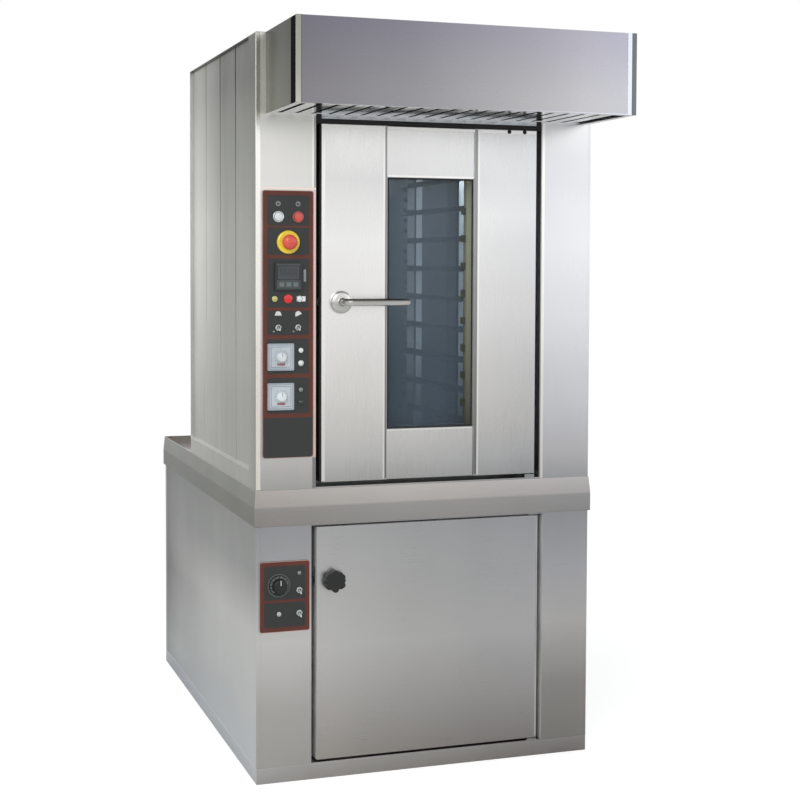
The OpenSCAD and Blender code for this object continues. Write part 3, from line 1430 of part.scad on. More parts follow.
module prover_knob() color("black") at_front() translate([knob_x, 0, knob_z]) {
    lobe_at = knob_r * (1 - lobe_share);
    rod_y(0, 0, -air - knob_t, -air - knob_foot_t, knob_r * core_share);
    for (a = [0:360 / knob_lobes:359])
        rod_y(lobe_at * sin(a), lobe_at * cos(a), -air - knob_t, -air - knob_foot_t, knob_r * lobe_share);
    rod_y(0, 0, -air - knob_foot_t, -air, knob_foot_r);
    rod_y(0, 0, -air - cut, cam_y + cam_t / 2, spindle_r);
    block([-knob_in - cam_out, cam_y - cam_t / 2, -cam_w / 2], [0, cam_y + cam_t / 2, cam_w / 2]);
    rod_y(0, 0, cam_y - cam_t / 2, cam_y + cam_t / 2, cam_w / 2);
}

// ---- rack ----

post_half = rack_w / 2 - rack_post / 2;

module rack_frame() color("silver") at_front() translate([cx, rack_y, rack_low]) difference() {
    rack_solid();
    rod_z(0, 0, -cut, rack_bore_d, pivot_r);
    rod_z(0, 0, rack_h - rack_bore_d, rack_h + cut, shaft_r);
}

cross_half = 15; // half the width of the rack's cross bars
spine_half = 20; // half the width of the bars that carry its hubs

module rack_solid() {
    gap = rack_post_gap / 2;
    for (x = [-post_half, post_half], y = [-gap, gap]) translate([x, y, 0])
        block([-rack_post / 2, -rack_post / 2, 0], [rack_post / 2, rack_post / 2, rack_h]);
    for (z = [0, rack_h - rack_bar]) {
        for (y = [-gap, gap])
            block([-post_half, y - cross_half, z], [post_half, y + cross_half, z + rack_bar]);
        block([-spine_half, -gap, z], [spine_half, gap, z + rack_bar]);
    }
    for (side = [0, 1]) mirror([side, 0, 0])
        for (k = [0:tray_levels - 1])
            translate([-rack_w / 2 + rack_post - sheet, -runner_l / 2, tray_first + k * tray_pitch]) {
                cube([ledge_w, runner_l, sheet]);
                cube([sheet, runner_l, ledge_h]);
            }
    rod_z(0, 0, 0, hub_h, hub_r);
    rod_z(0, 0, rack_h - hub_h, rack_h, hub_r);
}

module drive_shaft() color("gray") at_front() {
    rod_z(cx, rack_y, rack_top - rack_bore_d, gear_low + gear_bore_d - shaft_play, shaft_r);
    rod_z(cx, rack_y, floor_z + cup_floor + air, rack_low + rack_bore_d, pivot_r);
}

base_plinth();
base_side_panels();
base_front_frame();
deck_rim();
prover_liner();
prover_tray_rails();
prover_humidifier();
prover_fascia();
oven_front_frame();
lintel_panel();
oven_side_panels();
back_panels();
roof_panel();
insulation();
chamber_liner();
air_duct_panel();
fan_box();
heating_elements();
steam_generator();
chamber_lamps();
gearmotor();
rack_bearings();
fan_motor();
rear_housing();
hood_shell();
hood_filter();
control_fascia();
digital_controller();
instrument_cases();
indicator_lamps();
estop_collar();
switch_bezels();
door_hardware();
panel_screws();
service_inlets();
door_stiles();
door_centre_panels();
door_liner();
door_insulation();
window_glass();
door_gasket();
handle_rose();
door_lever();
latch_bolt();
prover_door_panel();
prover_door_gasket();
prover_knob();
rack_frame();
drive_shaft();
fan_wheel();
estop_head();
start_button();
stop_button();
timer_knob_upper();
timer_knob_lower();
toggle_left();
toggle_right();
thermostat_dial();
prover_switch_upper();
prover_switch_lower();
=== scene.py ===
import json
from math import cos, pi, radians, sin

import bmesh
import bpy
from mathutils import Matrix, Vector

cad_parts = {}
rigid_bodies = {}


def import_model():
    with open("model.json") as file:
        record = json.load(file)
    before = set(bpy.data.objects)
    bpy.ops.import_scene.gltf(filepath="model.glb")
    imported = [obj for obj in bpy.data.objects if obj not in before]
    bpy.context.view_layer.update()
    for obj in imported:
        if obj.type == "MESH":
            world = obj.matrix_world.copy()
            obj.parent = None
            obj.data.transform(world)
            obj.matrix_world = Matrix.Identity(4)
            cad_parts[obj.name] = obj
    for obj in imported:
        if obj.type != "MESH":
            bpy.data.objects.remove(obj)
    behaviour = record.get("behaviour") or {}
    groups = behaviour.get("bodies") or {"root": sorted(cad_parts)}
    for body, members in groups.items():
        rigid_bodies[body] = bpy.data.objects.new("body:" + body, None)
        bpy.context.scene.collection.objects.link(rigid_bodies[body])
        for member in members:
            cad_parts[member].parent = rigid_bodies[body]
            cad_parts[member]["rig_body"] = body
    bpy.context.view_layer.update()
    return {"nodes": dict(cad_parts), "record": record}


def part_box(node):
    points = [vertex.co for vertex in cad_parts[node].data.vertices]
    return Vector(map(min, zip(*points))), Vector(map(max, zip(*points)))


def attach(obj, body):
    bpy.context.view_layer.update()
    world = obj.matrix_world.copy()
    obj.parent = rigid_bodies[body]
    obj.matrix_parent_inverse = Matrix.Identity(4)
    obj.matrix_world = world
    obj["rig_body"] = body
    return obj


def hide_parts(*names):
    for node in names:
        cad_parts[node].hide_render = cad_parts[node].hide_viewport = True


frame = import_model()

NODES = frame["nodes"]
FRONT = -0.5295          # depth of the cabinets' front plane, in metres
MM = 0.001

# ---------------------------------------------------------------- camera
CAMERA_AT = (-1.42366, -4.47062, 1.39177)
YAW, PITCH, ROLL = 0.32787, -0.04657, 0.0036
FRAME_PX = 800
FOCAL_PX = 1531.3
SHIFT_PX = -64.0
SENSOR_MM = 36.0


def add(name, data):
    """A new object in the scene."""
    obj = bpy.data.objects.new(name, data)
    bpy.context.scene.collection.objects.link(obj)
    return obj


def make_camera():
    data = bpy.data.cameras.new("camera")
    data.sensor_width = SENSOR_MM
    data.lens = FOCAL_PX / FRAME_PX * SENSOR_MM
    data.shift_y = SHIFT_PX / FRAME_PX
    data.clip_end = 100
    cam = add("camera", data)
    forward = Vector((sin(YAW) * cos(PITCH), cos(YAW) * cos(PITCH), sin(PITCH)))
    right = Vector((cos(YAW), -sin(YAW), 0))
    up = right.cross(forward)
    r = right * cos(ROLL) + up * sin(ROLL)
    u = up * cos(ROLL) - right * sin(ROLL)
    m = Matrix((r, u, -forward)).transposed().to_4x4()
    m.translation = CAMERA_AT
    cam.matrix_world = m
    bpy.context.scene.camera = cam


# ---------------------------------------------------------------- materials
def linear(c):
    """A display colour (r, g, b), or (grey,), of 0 to 255 as a scene colour."""
    out = []
    for v in c if len(c) == 3 else c * 3:
        v = v / 255
        out.append(v / 12.92 if v <= 0.04045 else ((v + 0.055) / 1.055) ** 2.4)
    return (*out, 1.0)


MATERIALS = {}


class Shader:
    """A small helper that makes and links the nodes of one material."""

    def __init__(self, name):
        self.mat = MATERIALS[name] = bpy.data.materials.new(name)
        self.mat.use_nodes = True
        self.tree = self.mat.node_tree
        self.bsdf = next(n for n in self.tree.nodes if n.type == "BSDF_PRINCIPLED")
        self.out = next(n for n in self.tree.nodes if n.type == "OUTPUT_MATERIAL")

    def node(self, kind, **sets):
        n = self.tree.nodes.new("ShaderNode" + kind)
        for k, v in sets.items():
            if k.startswith("in_"):
                key = k[3:]
                n.inputs[int(key) if key.isdigit() else key].default_value = v
            else:
                setattr(n, k, v)
        return n

    def link(self, a, b):
        self.tree.links.new(a, b)

    def coords(self, scale=(1, 1, 1)):
        c = self.node("TexCoord")
        m = self.node("Mapping")
        m.inputs["Scale"].default_value = scale
        self.link(c.outputs["Object"], m.inputs["Vector"])
        return m.outputs["Vector"]

    def noise(self, scale, size=1.0, detail=3.0, rough=0.55):
        n = self.node("TexNoise", in_Scale=size, in_Detail=detail, in_Roughness=rough)
        self.link(self.coords(scale), n.inputs["Vector"])
        return n.outputs["Fac"]

    def remap(self, value, a, b, lo=0.3, hi=0.7):
        n = self.node("MapRange")
        for key, v in zip(("From Min", "From Max", "To Min", "To Max"), (lo, hi, a, b)):
            n.inputs[key].default_value = v
        self.link(value, n.inputs["Value"])
        return n.outputs["Result"]

    def math(self, op, a, b):
        return self.feed(self.node("Math", operation=op), (0, a), (1, b))

    def along(self, axis):
        """The position along one axis of the object, in metres."""
        c = self.node("TexCoord")
        s = self.node("SeparateXYZ")
        self.link(c.outputs["Object"], s.inputs[0])
        return s.outputs["XYZ".index(axis)]

    def mixed(self, a, b, factor):
        n = self.node("Mix", data_type="RGBA")
        self.feed(n, (6, a), (7, b), (0, factor))
        return n.outputs[2]

    def feed(self, node, *pairs):
        """Sets the sockets of a node: a link for an output, a plain value otherwise."""
        for key, v in pairs:
            if isinstance(v, bpy.types.NodeSocket):
                self.link(v, node.inputs[key])
            else:
                node.inputs[key].default_value = v
        return node.outputs[0]

    def ramp(self, axis, stops):
        """Colours along one axis of the object: [(metres, r, g, b) or (metres, grey), ...]."""
        lo, hi = stops[0][0], stops[-1][0]
        t = self.remap(self.along(axis), 0.0, 1.0, lo, hi)
        r = self.node("ValToRGB")
        el = r.color_ramp.elements
        while len(el) < len(stops):
            el.new(0.5)
        for e, (p, *col) in zip(el, stops):
            e.position = (p - lo) / (hi - lo)
            e.color = linear(col)
        self.link(t, r.inputs[0])
        return r.outputs["Color"]

    def scaled(self, colour, factor):
        """A colour times a value."""
        return self.feed(self.node("VectorMath", operation="SCALE"), (0, colour), ("Scale", factor))

    def times(self, a, b):
        return self.feed(self.node("VectorMath", operation="MULTIPLY"), (0, a), (1, b))

    def mix(self, factor, a, b):
        """A shader between two others."""
        return self.feed(self.node("MixShader"), (0, factor), (1, a), (2, b))

    def bump(self, height, strength, distance):
        n = self.node("Bump", in_Strength=strength, in_Distance=distance)
        self.link(height, n.inputs["Height"])
        self.link(n.outputs["Normal"], self.bsdf.inputs["Normal"])


BRUSH = {"X": (9, 640, 640), "Y": (640, 9, 640), "Z": (640, 640, 9)}


def steel(name, brush, rough, stops, axis="Z", grain=0.022, second=None, bands=None, edge=1.0, wave=0,
        metal=1.0, blend=None, glow=0.0):
    """Steel brushed along one axis: colours along another, which are painted reflections and shade, a fine
    grain, broad clouds, and optional bands and waves. A blend (axis, from, to, stops) leads over to other
    colours. A glow is painted light."""
    s = Shader(name)
    colour = s.ramp(axis, stops)
    if blend:
        over, start, end, others = blend
        colour = s.mixed(colour, s.ramp(axis, others), s.remap(s.along(over), 0.0, 1.0, start, end))
    if second:
        colour = s.times(colour, s.ramp(*second))
    fine = s.noise(BRUSH[brush], 1.0, 4.0, 0.65)
    cloud = s.noise((2.2, 2.2, 2.2), 1.0, 2.0, 0.5)
    factor = s.math("MULTIPLY", s.remap(fine, 1 - grain, 1 + grain), s.remap(cloud, 0.965, 1.035))
    if bands:
        b_axis, b_scale, b_amount = bands
        scale = [0.05, 0.05, 0.05]
        scale["XYZ".index(b_axis)] = b_scale
        streaks = s.noise(tuple(scale), 1.0, 2.0)
        factor = s.math("MULTIPLY", factor, s.remap(streaks, 1 - b_amount, 1 + b_amount))
    smear = s.noise((9, 9, 5), 1.0, 3.0)
    s.feed(s.bsdf, ("Base Color", s.scaled(colour, factor)), ("Metallic", metal),
        ("Specular Tint", (edge, edge, edge, 1)),
        ("Roughness", s.math("ADD", s.remap(fine, rough - 0.03, rough + 0.03), s.remap(smear, -0.02, 0.03))))
    if glow:
        s.feed(s.bsdf, ("Emission Color", colour), ("Emission Strength", glow))
    s.bump(fine, 0.04, 0.0003)
    if wave:
        s.bump(s.noise((22, 7, 7), 1.0, 1.0), wave, 0.002)


def plain(name, colour, rough, mottle, size, coat, metallic=0.0, bump=0.15, depth=0.0002, dark=None,
        emission=None, specular=0.5):
    """Moulded plastic, paint, rubber or cast metal with a fine surface texture."""
    s = Shader(name)
    fine = s.noise((size,) * 3, 1.0, 3.0, 0.6)
    cloud = s.noise((14, 14, 14), 1.0, 2.0)
    spots = s.math("MULTIPLY", s.remap(cloud, 0.0, 1.0), s.remap(fine, 0.3, 1.0))
    tone = s.mixed(linear(colour), linear(dark or tuple(c * 0.82 for c in colour)), spots)
    s.feed(s.bsdf, ("Base Color", s.scaled(tone, s.remap(fine, 1 - mottle, 1 + mottle))),
        ("Metallic", metallic), ("Coat Weight", coat), ("Specular IOR Level", specular),
        ("Roughness", s.remap(cloud, rough - 0.06, rough + 0.06)))
    if emission:
        s.feed(s.bsdf, ("Emission Color", linear(colour)), ("Emission Strength", emission))
    s.bump(fine, bump, depth)


def glazing(name, panes):
    """Window glass: (front, back) panes, split at GLASS_SPLIT, each (tint per surface, gloss, haze)."""
    s = Shader(name)
    s.tree.nodes.remove(s.bsdf)
    made = []
    for tint, gloss, haze in panes:
        clear = s.feed(s.node("BsdfTransparent"), (0, tint))
        shine = s.node("BsdfGlossy", in_Roughness=0.08).outputs[0]
        milk = s.feed(s.node("BsdfDiffuse"), (0, linear((148, 168, 190))))
        fresnel = s.node("Fresnel", in_IOR=1.4).outputs[0]
        glass = s.mix(s.math("MULTIPLY", fresnel, gloss), clear, shine)
        made.append(s.mix(s.remap(s.noise((6, 6, 3), 1.0, 3.0), haze * 0.9, haze * 1.1), glass, milk))
    s.link(s.mix(s.math("GREATER_THAN", s.along("Y"), GLASS_SPLIT), *made), s.out.inputs["Surface"])


# ---------------------------------------------------------------- mesh helpers
def finish_mesh(bm, name, mat, smooth_deg=32):
    """Turns a bmesh into an object with smooth faces and sharp creases."""
    bmesh.ops.recalc_face_normals(bm, faces=bm.faces)
    limit = radians(smooth_deg)
    for e in bm.edges:
        e.smooth = len(e.link_faces) == 2 and e.calc_face_angle(0) < limit
    for f in bm.faces:
        f.smooth = True
    mesh = bpy.data.meshes.new(name)
    bm.to_mesh(mesh)
    bm.free()
    mesh.materials.append(MATERIALS[mat])
    return add(name, mesh)


def soften(obj, width, segments=2, angle=30):
    """Rounds the edges of a piece, with a width in millimetres, as in the functions below."""
    m = obj.modifiers.new("round", "BEVEL")
    m.width = width * MM
    m.segments = segments
    m.limit_method = "ANGLE"
    m.angle_limit = radians(angle)
    m.harden_normals = True
    m.use_clamp_overlap = True
    return obj


def place(obj, body, slot, *nodes):
    """Hangs a piece on the body it rides on and hides the nodes it replaces.
    The slot is not used."""
    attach(obj, body)
    if nodes:
        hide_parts(*nodes)
    return obj


def body_of(node):
    return NODES[node]["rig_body"]


def slot_of(node):
    return next(p["material_slot"] for p in frame["record"]["subparts"] if p["node"] == node)


def paint(obj, mat, test):
    """Gives a second material to the faces for which test(centre, normal) holds."""
    obj.data.materials.append(MATERIALS[mat])
    for f in obj.data.polygons:
        if test(f.center, f.normal):
            f.material_index = len(obj.data.materials) - 1
    return obj


def dress(node, mat, width=0.9, segments=2, merge=True):
    """A copy of a CAD node with rounded edges, which stands in for it.
    Sheets with several holes keep their triangles (merge=False)."""
    bm = bmesh.new()
    bm.from_mesh(NODES[node].data)
    bmesh.ops.remove_doubles(bm, verts=bm.verts, dist=1e-6)
    if merge:
        bmesh.ops.dissolve_limit(bm, angle_limit=radians(0.4), verts=bm.verts, edges=bm.edges)
    obj = finish_mesh(bm, node + "_piece", mat)
    if width:
        soften(obj, width, segments)
    return place(obj, body_of(node), slot_of(node), node)


def block(name, lo, hi, mat, body="cabinet", slot=None, width=0.6, segments=2):
    """A block with rounded edges."""
    bm = bmesh.new()
    bmesh.ops.create_cube(bm, size=1)
    lo, hi = Vector(lo), Vector(hi)
    for v in bm.verts:
        v.co = Vector([(lo[i] + hi[i]) / 2 + v.co[i] * (hi[i] - lo[i]) for i in range(3)])
    obj = finish_mesh(bm, name, mat)
    if width:
        soften(obj, width, segments)
    return place(obj, body, slot)


def slab(name, x, z, half_w, half_h, y0, y1, *rest, **more):
    """A block round a point of the front, from y0 to y1."""
    return block(name, (x - half_w, y0, z - half_h), (x + half_w, y1, z + half_h), *rest, **more)


def disc(node, face):
    """The middle, the radius and the reach in front of a face of a round node."""
    lo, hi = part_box(node)
    return (lo.x + hi.x) / 2, (lo.z + hi.z) / 2, (hi.x - lo.x) / 2, face - lo.y


def plate(name, loops, y0, y1, mat, body="cabinet", slot=None, width=0, replaces=()):
    """A plate in the XZ plane from y0 (front) to y1, with an outline and holes given as point lists."""
    curve = bpy.data.curves.new(name, "CURVE")
    curve.dimensions = "2D"
    curve.fill_mode = "BOTH"
    for pts in loops:
        sp = curve.splines.new("POLY")
        sp.points.add(len(pts) - 1)
        for p, (x, z) in zip(sp.points, pts):
            p.co = (x, z, 0, 1)
        sp.use_cyclic_u = True
    tmp = add(name + "_tmp", curve)
    bpy.context.view_layer.update()
    mesh = bpy.data.meshes.new_from_object(tmp.evaluated_get(bpy.context.evaluated_depsgraph_get()))
    bpy.data.objects.remove(tmp)
    bpy.data.curves.remove(curve)
    bm = bmesh.new()
    bm.from_mesh(mesh)
    bpy.data.meshes.remove(mesh)
    bmesh.ops.remove_doubles(bm, verts=bm.verts, dist=3e-6)
    if len(loops) == 1:
        bmesh.ops.dissolve_limit(bm, angle_limit=radians(0.3), verts=bm.verts, edges=bm.edges)
    for v in bm.verts:
        v.co = Vector((v.co.x, y0, v.co.y))
    for part in bmesh.ops.extrude_face_region(bm, geom=bm.faces[:])["geom"]:
        if isinstance(part, bmesh.types.BMVert):
            part.co.y = y1
    obj = finish_mesh(bm, name, mat)
    if width:
        soften(obj, width, 2, 60)
    return place(obj, body, slot, *replaces)


def tick(name, x, z, angle, r0, r1, half, *rest, **more):
    """A flat radial bar from radius r0 to r1 round a point."""
    p, n = (cos(angle), sin(angle)), (-sin(angle), cos(angle))
    pts = [(x + p[0] * r + n[0] * s, z + p[1] * r + n[1] * s)
        for r, s in ((r0, half), (r1, half), (r1, -half), (r0, -half))]
    return plate(name, [pts], *rest, **more)


def rounded(x0, x1, z0, z1, r, steps=6):
    """The points of a rectangle with round corners."""
    pts = []
    for cx, cz, a in ((x1 - r, z1 - r, 0), (x0 + r, z1 - r, 90), (x0 + r, z0 + r, 180), (x1 - r, z0 + r, 270)):
        for k in range(steps + 1):
            t = radians(a + 90 * k / steps)
            pts.append((cx + r * cos(t), cz + r * sin(t)))
    return pts


def circle(x, z, r, n=40):
    return [(x + r * cos(2 * pi * k / n), z + r * sin(2 * pi * k / n)) for k in range(n)]


def lathe(name, profile, at, mat, axis="Y", body="cabinet", slot=None, n=48, replaces=()):
    """A turned piece: profile [(radius, distance along the axis), ...] round a point.
    The distance counts from the point towards the front (-Y), or up (+Z)."""
    bm = bmesh.new()
    turn(bm, profile, at, axis, n)
    obj = finish_mesh(bm, name, mat, 28)
    return place(obj, body, slot, *replaces)


def turn(bm, profile, at, axis, n):
    """Adds a turned solid to a mesh. A profile that ends where it starts gives a ring, others get caps."""
    closed = profile[0] == profile[-1]
    skin(bm, [ring(bm, lambda u, v, d=d: turned(u, v, d, at, axis), r, n)
        for r, d in (profile[:-1] if closed else profile)], closed)


def ring(bm, where, r, n, start=0.0):
    """A ring of n points of a radius, or a tip where the radius is nothing."""
    if r < 1e-7:
        return [bm.verts.new(where(0, 0))]
    angles = [2 * pi * k / n + start for k in range(n)]
    return [bm.verts.new(where(r * cos(t), r * sin(t))) for t in angles]


def skin(bm, rings, closed=False):
    """Joins rings of points with faces, and caps the ends unless the rings close up."""
    for a, b in zip(rings, rings[1:] + rings[:1] if closed else rings[1:]):
        for k in range(max(len(a), len(b))):
            q = list(dict.fromkeys([a[k % len(a)], a[(k + 1) % len(a)], b[(k + 1) % len(b)], b[k % len(b)]]))
            if len(q) > 2:
                bm.faces.new(q)
    if not closed:
        for end in (rings[0], rings[-1]):
            if len(end) > 2:
                bm.faces.new(end)


def turned(u, v, d, at, axis):
    if axis == "Y":
        return (at[0] + u, at[1] - d, at[2] + v)
    return (at[0] + u, at[1] + v, at[2] + d)


def ring_profile(r0, r1, d0, d1, e):
    """A flat ring from radius r0 to r1 with rounded outer and inner edges."""
    return [(r0, d0), (r0, d1 - e), (r0 + e * 0.3, d1 - e * 0.3), (r0 + e, d1), (r1 - e, d1),
        (r1 - e * 0.3, d1 - e * 0.3), (r1, d1 - e), (r1, d0), (r0, d0)]


def dome_profile(r, d0, d1, rise, e):
    """A disc with a rounded rim and a slightly domed face."""
    pts = [(r, d0), (r, d1 - e), (r - e * 0.3, d1 - e * 0.3), (r - e, d1)]
    for k in range(1, 7):
        t = k / 6
        pts.append(((r - e) * (1 - t), d1 + rise * sin(t * pi / 2)))
    return pts


def tube(name, points, radius, mat, body="cabinet", slot=None, sides=16, replaces=()):
    """A round bar along a smooth path, with rounded ends."""
    pts = [Vector(p) for p in points]
    bm = bmesh.new()
    tangents = [(pts[min(i + 1, len(pts) - 1)] - pts[max(i - 1, 0)]).normalized() for i in range(len(pts))]
    ref = Vector((0, 0, 1)) if abs(tangents[0].z) < 0.9 else Vector((1, 0, 0))
    steps = 4

    def cap(p, t, inwards, k):
        """Step k of a rounded end, from its shoulder to its tip."""
        a = pi / 2 * k / steps
        return p + t * inwards * radius * (1 - sin(a)), t, max(radius * cos(a), radius * 0.02)

    path = [cap(pts[0], tangents[0], 1, steps - k) for k in range(steps)]
    path += [(p, t, radius) for p, t in zip(pts[1:-1], tangents[1:-1])]
    path += [cap(pts[-1], tangents[-1], -1, k + 1) for k in range(steps)]
    rings = []
    for p, t, r in path:
        ref = (ref - t * ref.dot(t)).normalized()
        w = t.cross(ref)
        angles = [2 * pi * k / sides for k in range(sides)]
        rings.append([bm.verts.new(p + (ref * cos(a) + w * sin(a)) * r) for a in angles])
    skin(bm, rings)
    return place(finish_mesh(bm, name, mat, 50), body, slot, *replaces)


# ---------------------------------------------------------------- stage
def area_light(name, at, look, size, power, size_y=None):
    data = bpy.data.lights.new(name, "AREA")
    data.shape = "RECTANGLE" if size_y else "SQUARE"
    data.size = size
    if size_y:
        data.size_y = size_y
    data.energy = power
    lamp = add(name, data)
    lamp.location = at
    lamp.rotation_euler = (Vector(look) - Vector(at)).to_track_quat("-Z", "Y").to_euler()


def make_world():
    """Soft light on the object, and white for the camera, the reflections and the glass."""
    world = bpy.data.worlds.new("studio")
    bpy.context.scene.world = world
    world.use_nodes = True
    t = world.node_tree
    t.nodes.clear()
    path, white, soft, seen, both, mix, out = (t.nodes.new("ShaderNode" + kind)
        for kind in ("LightPath", "Background", "Background", "Math", "Math", "MixShader", "OutputWorld"))
    white.inputs[0].default_value = (1, 1, 1, 1)
    soft.inputs[0].default_value = (0.97, 0.985, 1, 1)
    soft.inputs[1].default_value = SKY_LIGHT
    seen.operation = both.operation = "MAXIMUM"
    for a, b in ((path.outputs["Is Camera Ray"], seen.inputs[0]),
            (path.outputs["Is Glossy Ray"], both.inputs[0]),
            (path.outputs["Is Transmission Ray"], both.inputs[1]), (both.outputs[0], seen.inputs[1]),
            (seen.outputs[0], mix.inputs[0]), (soft.outputs[0], mix.inputs[1]),
            (white.outputs[0], mix.inputs[2]), (mix.outputs[0], out.inputs[0])):
        t.links.new(a, b)


def make_floor():
    """A pale floor, which glows a little for the camera alone."""
    bm = bmesh.new()
    bmesh.ops.create_circle(bm, cap_ends=True, segments=96, radius=26)
    s = Shader("floor")
    s.tree.nodes.remove(s.bsdf)
    tone = s.mixed(linear((220, 220, 217)), linear((225, 225, 222)), s.noise((3, 3, 3), 1.0, 3.0))
    lit = s.feed(s.node("BsdfDiffuse"), (0, tone))
    seen = s.feed(s.node("BsdfDiffuse"), (0, (FLOOR_SHARE, FLOOR_SHARE, FLOOR_SHARE, 1)))
    glow = s.node("Emission", in_Strength=FLOOR_GLOW).outputs[0]
    both = s.feed(s.node("AddShader"), (0, glow), (1, seen))
    camera = s.node("LightPath").outputs["Is Camera Ray"]
    s.link(s.mix(camera, lit, both), s.out.inputs["Surface"])
    finish_mesh(bm, "floor", "floor")


SKY_LIGHT = 0.72
CHAMBER_WATTS = 1.2
FLOOR_GLOW = 0.62
FLOOR_SHARE = 0.56

bpy.context.scene.view_settings.view_transform = "Standard"
make_camera()
make_world()
make_floor()
area_light("key", (-3.2, -4.6, 4.2), (0, -0.2, 1.0), 2.6, 102)
area_light("fill", (3.6, -3.8, 2.6), (0, 0, 1.0), 3.2, 15)
area_light("back", (-2.6, 3.8, 3.6), (0, 0.2, 1.2), 3.2, 12)
# the chamber's own two lamps, behind the front frame
for k, x in enumerate((-0.21, 0.22)):
    area_light(f"chamber_light_{k}", (x, -0.35, 1.742), (0.0, -0.05, 1.1), 0.12, CHAMBER_WATTS, 0.06)

# ---------------------------------------------------------------- the object's materials
LEVER_Z = (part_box("handle_rose")[0].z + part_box("handle_rose")[1].z) / 2
# these colour ramps are painted reflections and shade: faces lighter where they would mirror the bright room,
# darker where they would mirror the floor, by height, depth and side
POST_FRONT = [(0.79, 182, 182, 181), (0.86, 206, 203, 203), (1.0, 222, 221, 222), (1.25, 241),
    (1.45, 242, 242, 241), (1.62, 232, 232, 231), (1.7, 232, 232, 230), (1.78, 242, 242, 239)]
DOOR_FRONT = [(0.81, 184), (0.86, 203), (0.95, 226, 223, 221), (1.05, 238, 236, 234), (1.25, 254, 252, 251),
    (1.45, 252, 252, 251), (1.62, 231, 231, 232), (1.7, 242), (1.77, 255)]
DOOR_RIGHT = [(0.81, 190), (0.86, 208), (0.95, 226, 223, 221), (1.05, 234, 232, 230), (1.25, 247, 245, 244),
    (1.45, 246, 246, 245), (1.53, 252, 252, 251), (1.62, 244), (1.7, 247), (1.78, 255, 255, 254)]
ACROSS = ("X", [(-0.48, 255, 254, 252), (0.0, 248), (0.32, 228, 229, 232), (0.345, 243, 245, 250),
    (0.48, 245, 247, 252)])
SIDE_FRONT = [(0.78, 200, 200, 195), (0.9, 201, 201, 196), (1.1, 196, 196, 191), (1.3, 169, 170, 164),
    (1.5, 156, 157, 150), (1.7, 126, 128, 120), (1.9, 64, 66, 57), (2.0, 58, 60, 51)]
SIDE_BACK = [(0.78, 216, 216, 212), (0.9, 221, 221, 217), (1.1, 233, 233, 228), (1.3, 232, 232, 226),
    (1.5, 230, 230, 223), (1.7, 211, 212, 206), (1.9, 164, 165, 159), (2.0, 150, 151, 145)]
SIDE_DEPTH = ("Y", [(-0.53, 236, 236, 234), (-0.5, 238, 238, 236), (-0.46, 250, 250, 249), (-0.4, 255),
    (0.37, 255)])
LOW_FRONT = [(0.0, 210, 216, 223), (0.2, 225, 227, 228), (0.4, 222, 222, 221), (0.56, 169, 170, 170),
    (0.7, 158, 159, 158)]
LOW_BACK = [(0.0, 180, 184, 187), (0.1, 189, 192, 194), (0.2, 165, 166, 167), (0.35, 132),
    (0.45, 148, 149, 149), (0.6, 149, 150, 150), (0.7, 139, 140, 140)]
LOW_DEPTH = ("Y", [(-0.46, 255), (-0.2, 248), (0.0, 245), (0.3, 244), (0.6, 255), (0.72, 248), (0.8, 216)])

# posts, door and oven sides: one steel, with the painted reflections and shade of these ramps, the sides with
# their own
steel("post_steel", "Z", 0.3, POST_FRONT, grain=0.015, second=ACROSS)
steel("door_steel", "Z", 0.28, DOOR_FRONT, grain=0.014, blend=("X", -0.08, 0.2, DOOR_RIGHT), second=ACROSS)
steel("side_steel", "Z", 0.33, SIDE_FRONT, second=SIDE_DEPTH, bands=("Y", 11.0, 0.04), edge=0.85,
    blend=("Y", -0.1, 0.36, SIDE_BACK))
steel("base_side_steel", "Y", 0.34, LOW_FRONT, second=LOW_DEPTH, bands=("Y", 3.0, 0.02),
    blend=("Y", 0.08, 0.74, LOW_BACK))
# lower cabinet, its door, the deck rim and the plinth: painted reflections and shade along these ramps, with
# their own on the sides; the rim's upper band is a painted highlight where it faces up
steel("base_steel", "X", 0.31, [(0.04, 191, 189, 187), (0.2, 195, 193, 191), (0.38, 219, 216, 215),
    (0.55, 185, 185, 189), (0.69, 170, 170, 174)], blend=("X", -0.2, 0.36, [(0.04, 148, 145, 142),
    (0.2, 157, 155, 153), (0.38, 194, 192, 192), (0.55, 182, 182, 188), (0.69, 165, 165, 171)]))
steel("base_door_steel", "X", 0.3, [(0.05, 184, 180, 176), (0.18, 196, 193, 191), (0.36, 212, 211, 210),
    (0.6, 197, 197, 198), (0.69, 189, 189, 191)], blend=("X", -0.3, 0.32, [(0.05, 165, 161, 156),
    (0.18, 186, 183, 181), (0.36, 208, 207, 206), (0.6, 197, 197, 198), (0.69, 189, 189, 191)]),
    second=("X", [(-0.32, 255, 254, 254), (-0.2, 249), (0.0, 238, 238, 239), (0.15, 232, 232, 235),
    (0.33, 234, 234, 238)]))
steel("rim_steel", "X", 0.3, [(0.69, 164, 162, 160), (0.742, 168, 166, 164), (0.748, 190, 186, 183),
    (0.8, 192, 188, 185)], second=("X", [(-0.48, 246, 243, 242), (-0.1, 255), (0.2, 253, 253, 255),
    (0.48, 246, 247, 252)]))
steel("rim_side_steel", "Y", 0.32, [(0.69, 182, 183, 179), (0.742, 184, 185, 181), (0.748, 202, 203, 199),
    (0.8, 204, 205, 201)], edge=0.6, second=("Y", [(-0.5, 232, 232, 230), (0.0, 238, 238, 236), (0.8, 255)]))
steel("plinth_steel", "X", 0.33, [(0.0, 186, 183, 181), (0.042, 198, 196, 195)], second=("X", [(-0.48, 255),
    (-0.1, 234, 233, 232), (0.2, 215, 214, 212), (0.45, 201, 199, 199)]))
steel("plinth_side_steel", "Y", 0.33, [(0.0, 200, 202, 207), (0.042, 212, 214, 219)], second=("Y", [(-0.5, 255),
    (0.3, 242, 244, 247), (0.8, 240, 242, 245)]))
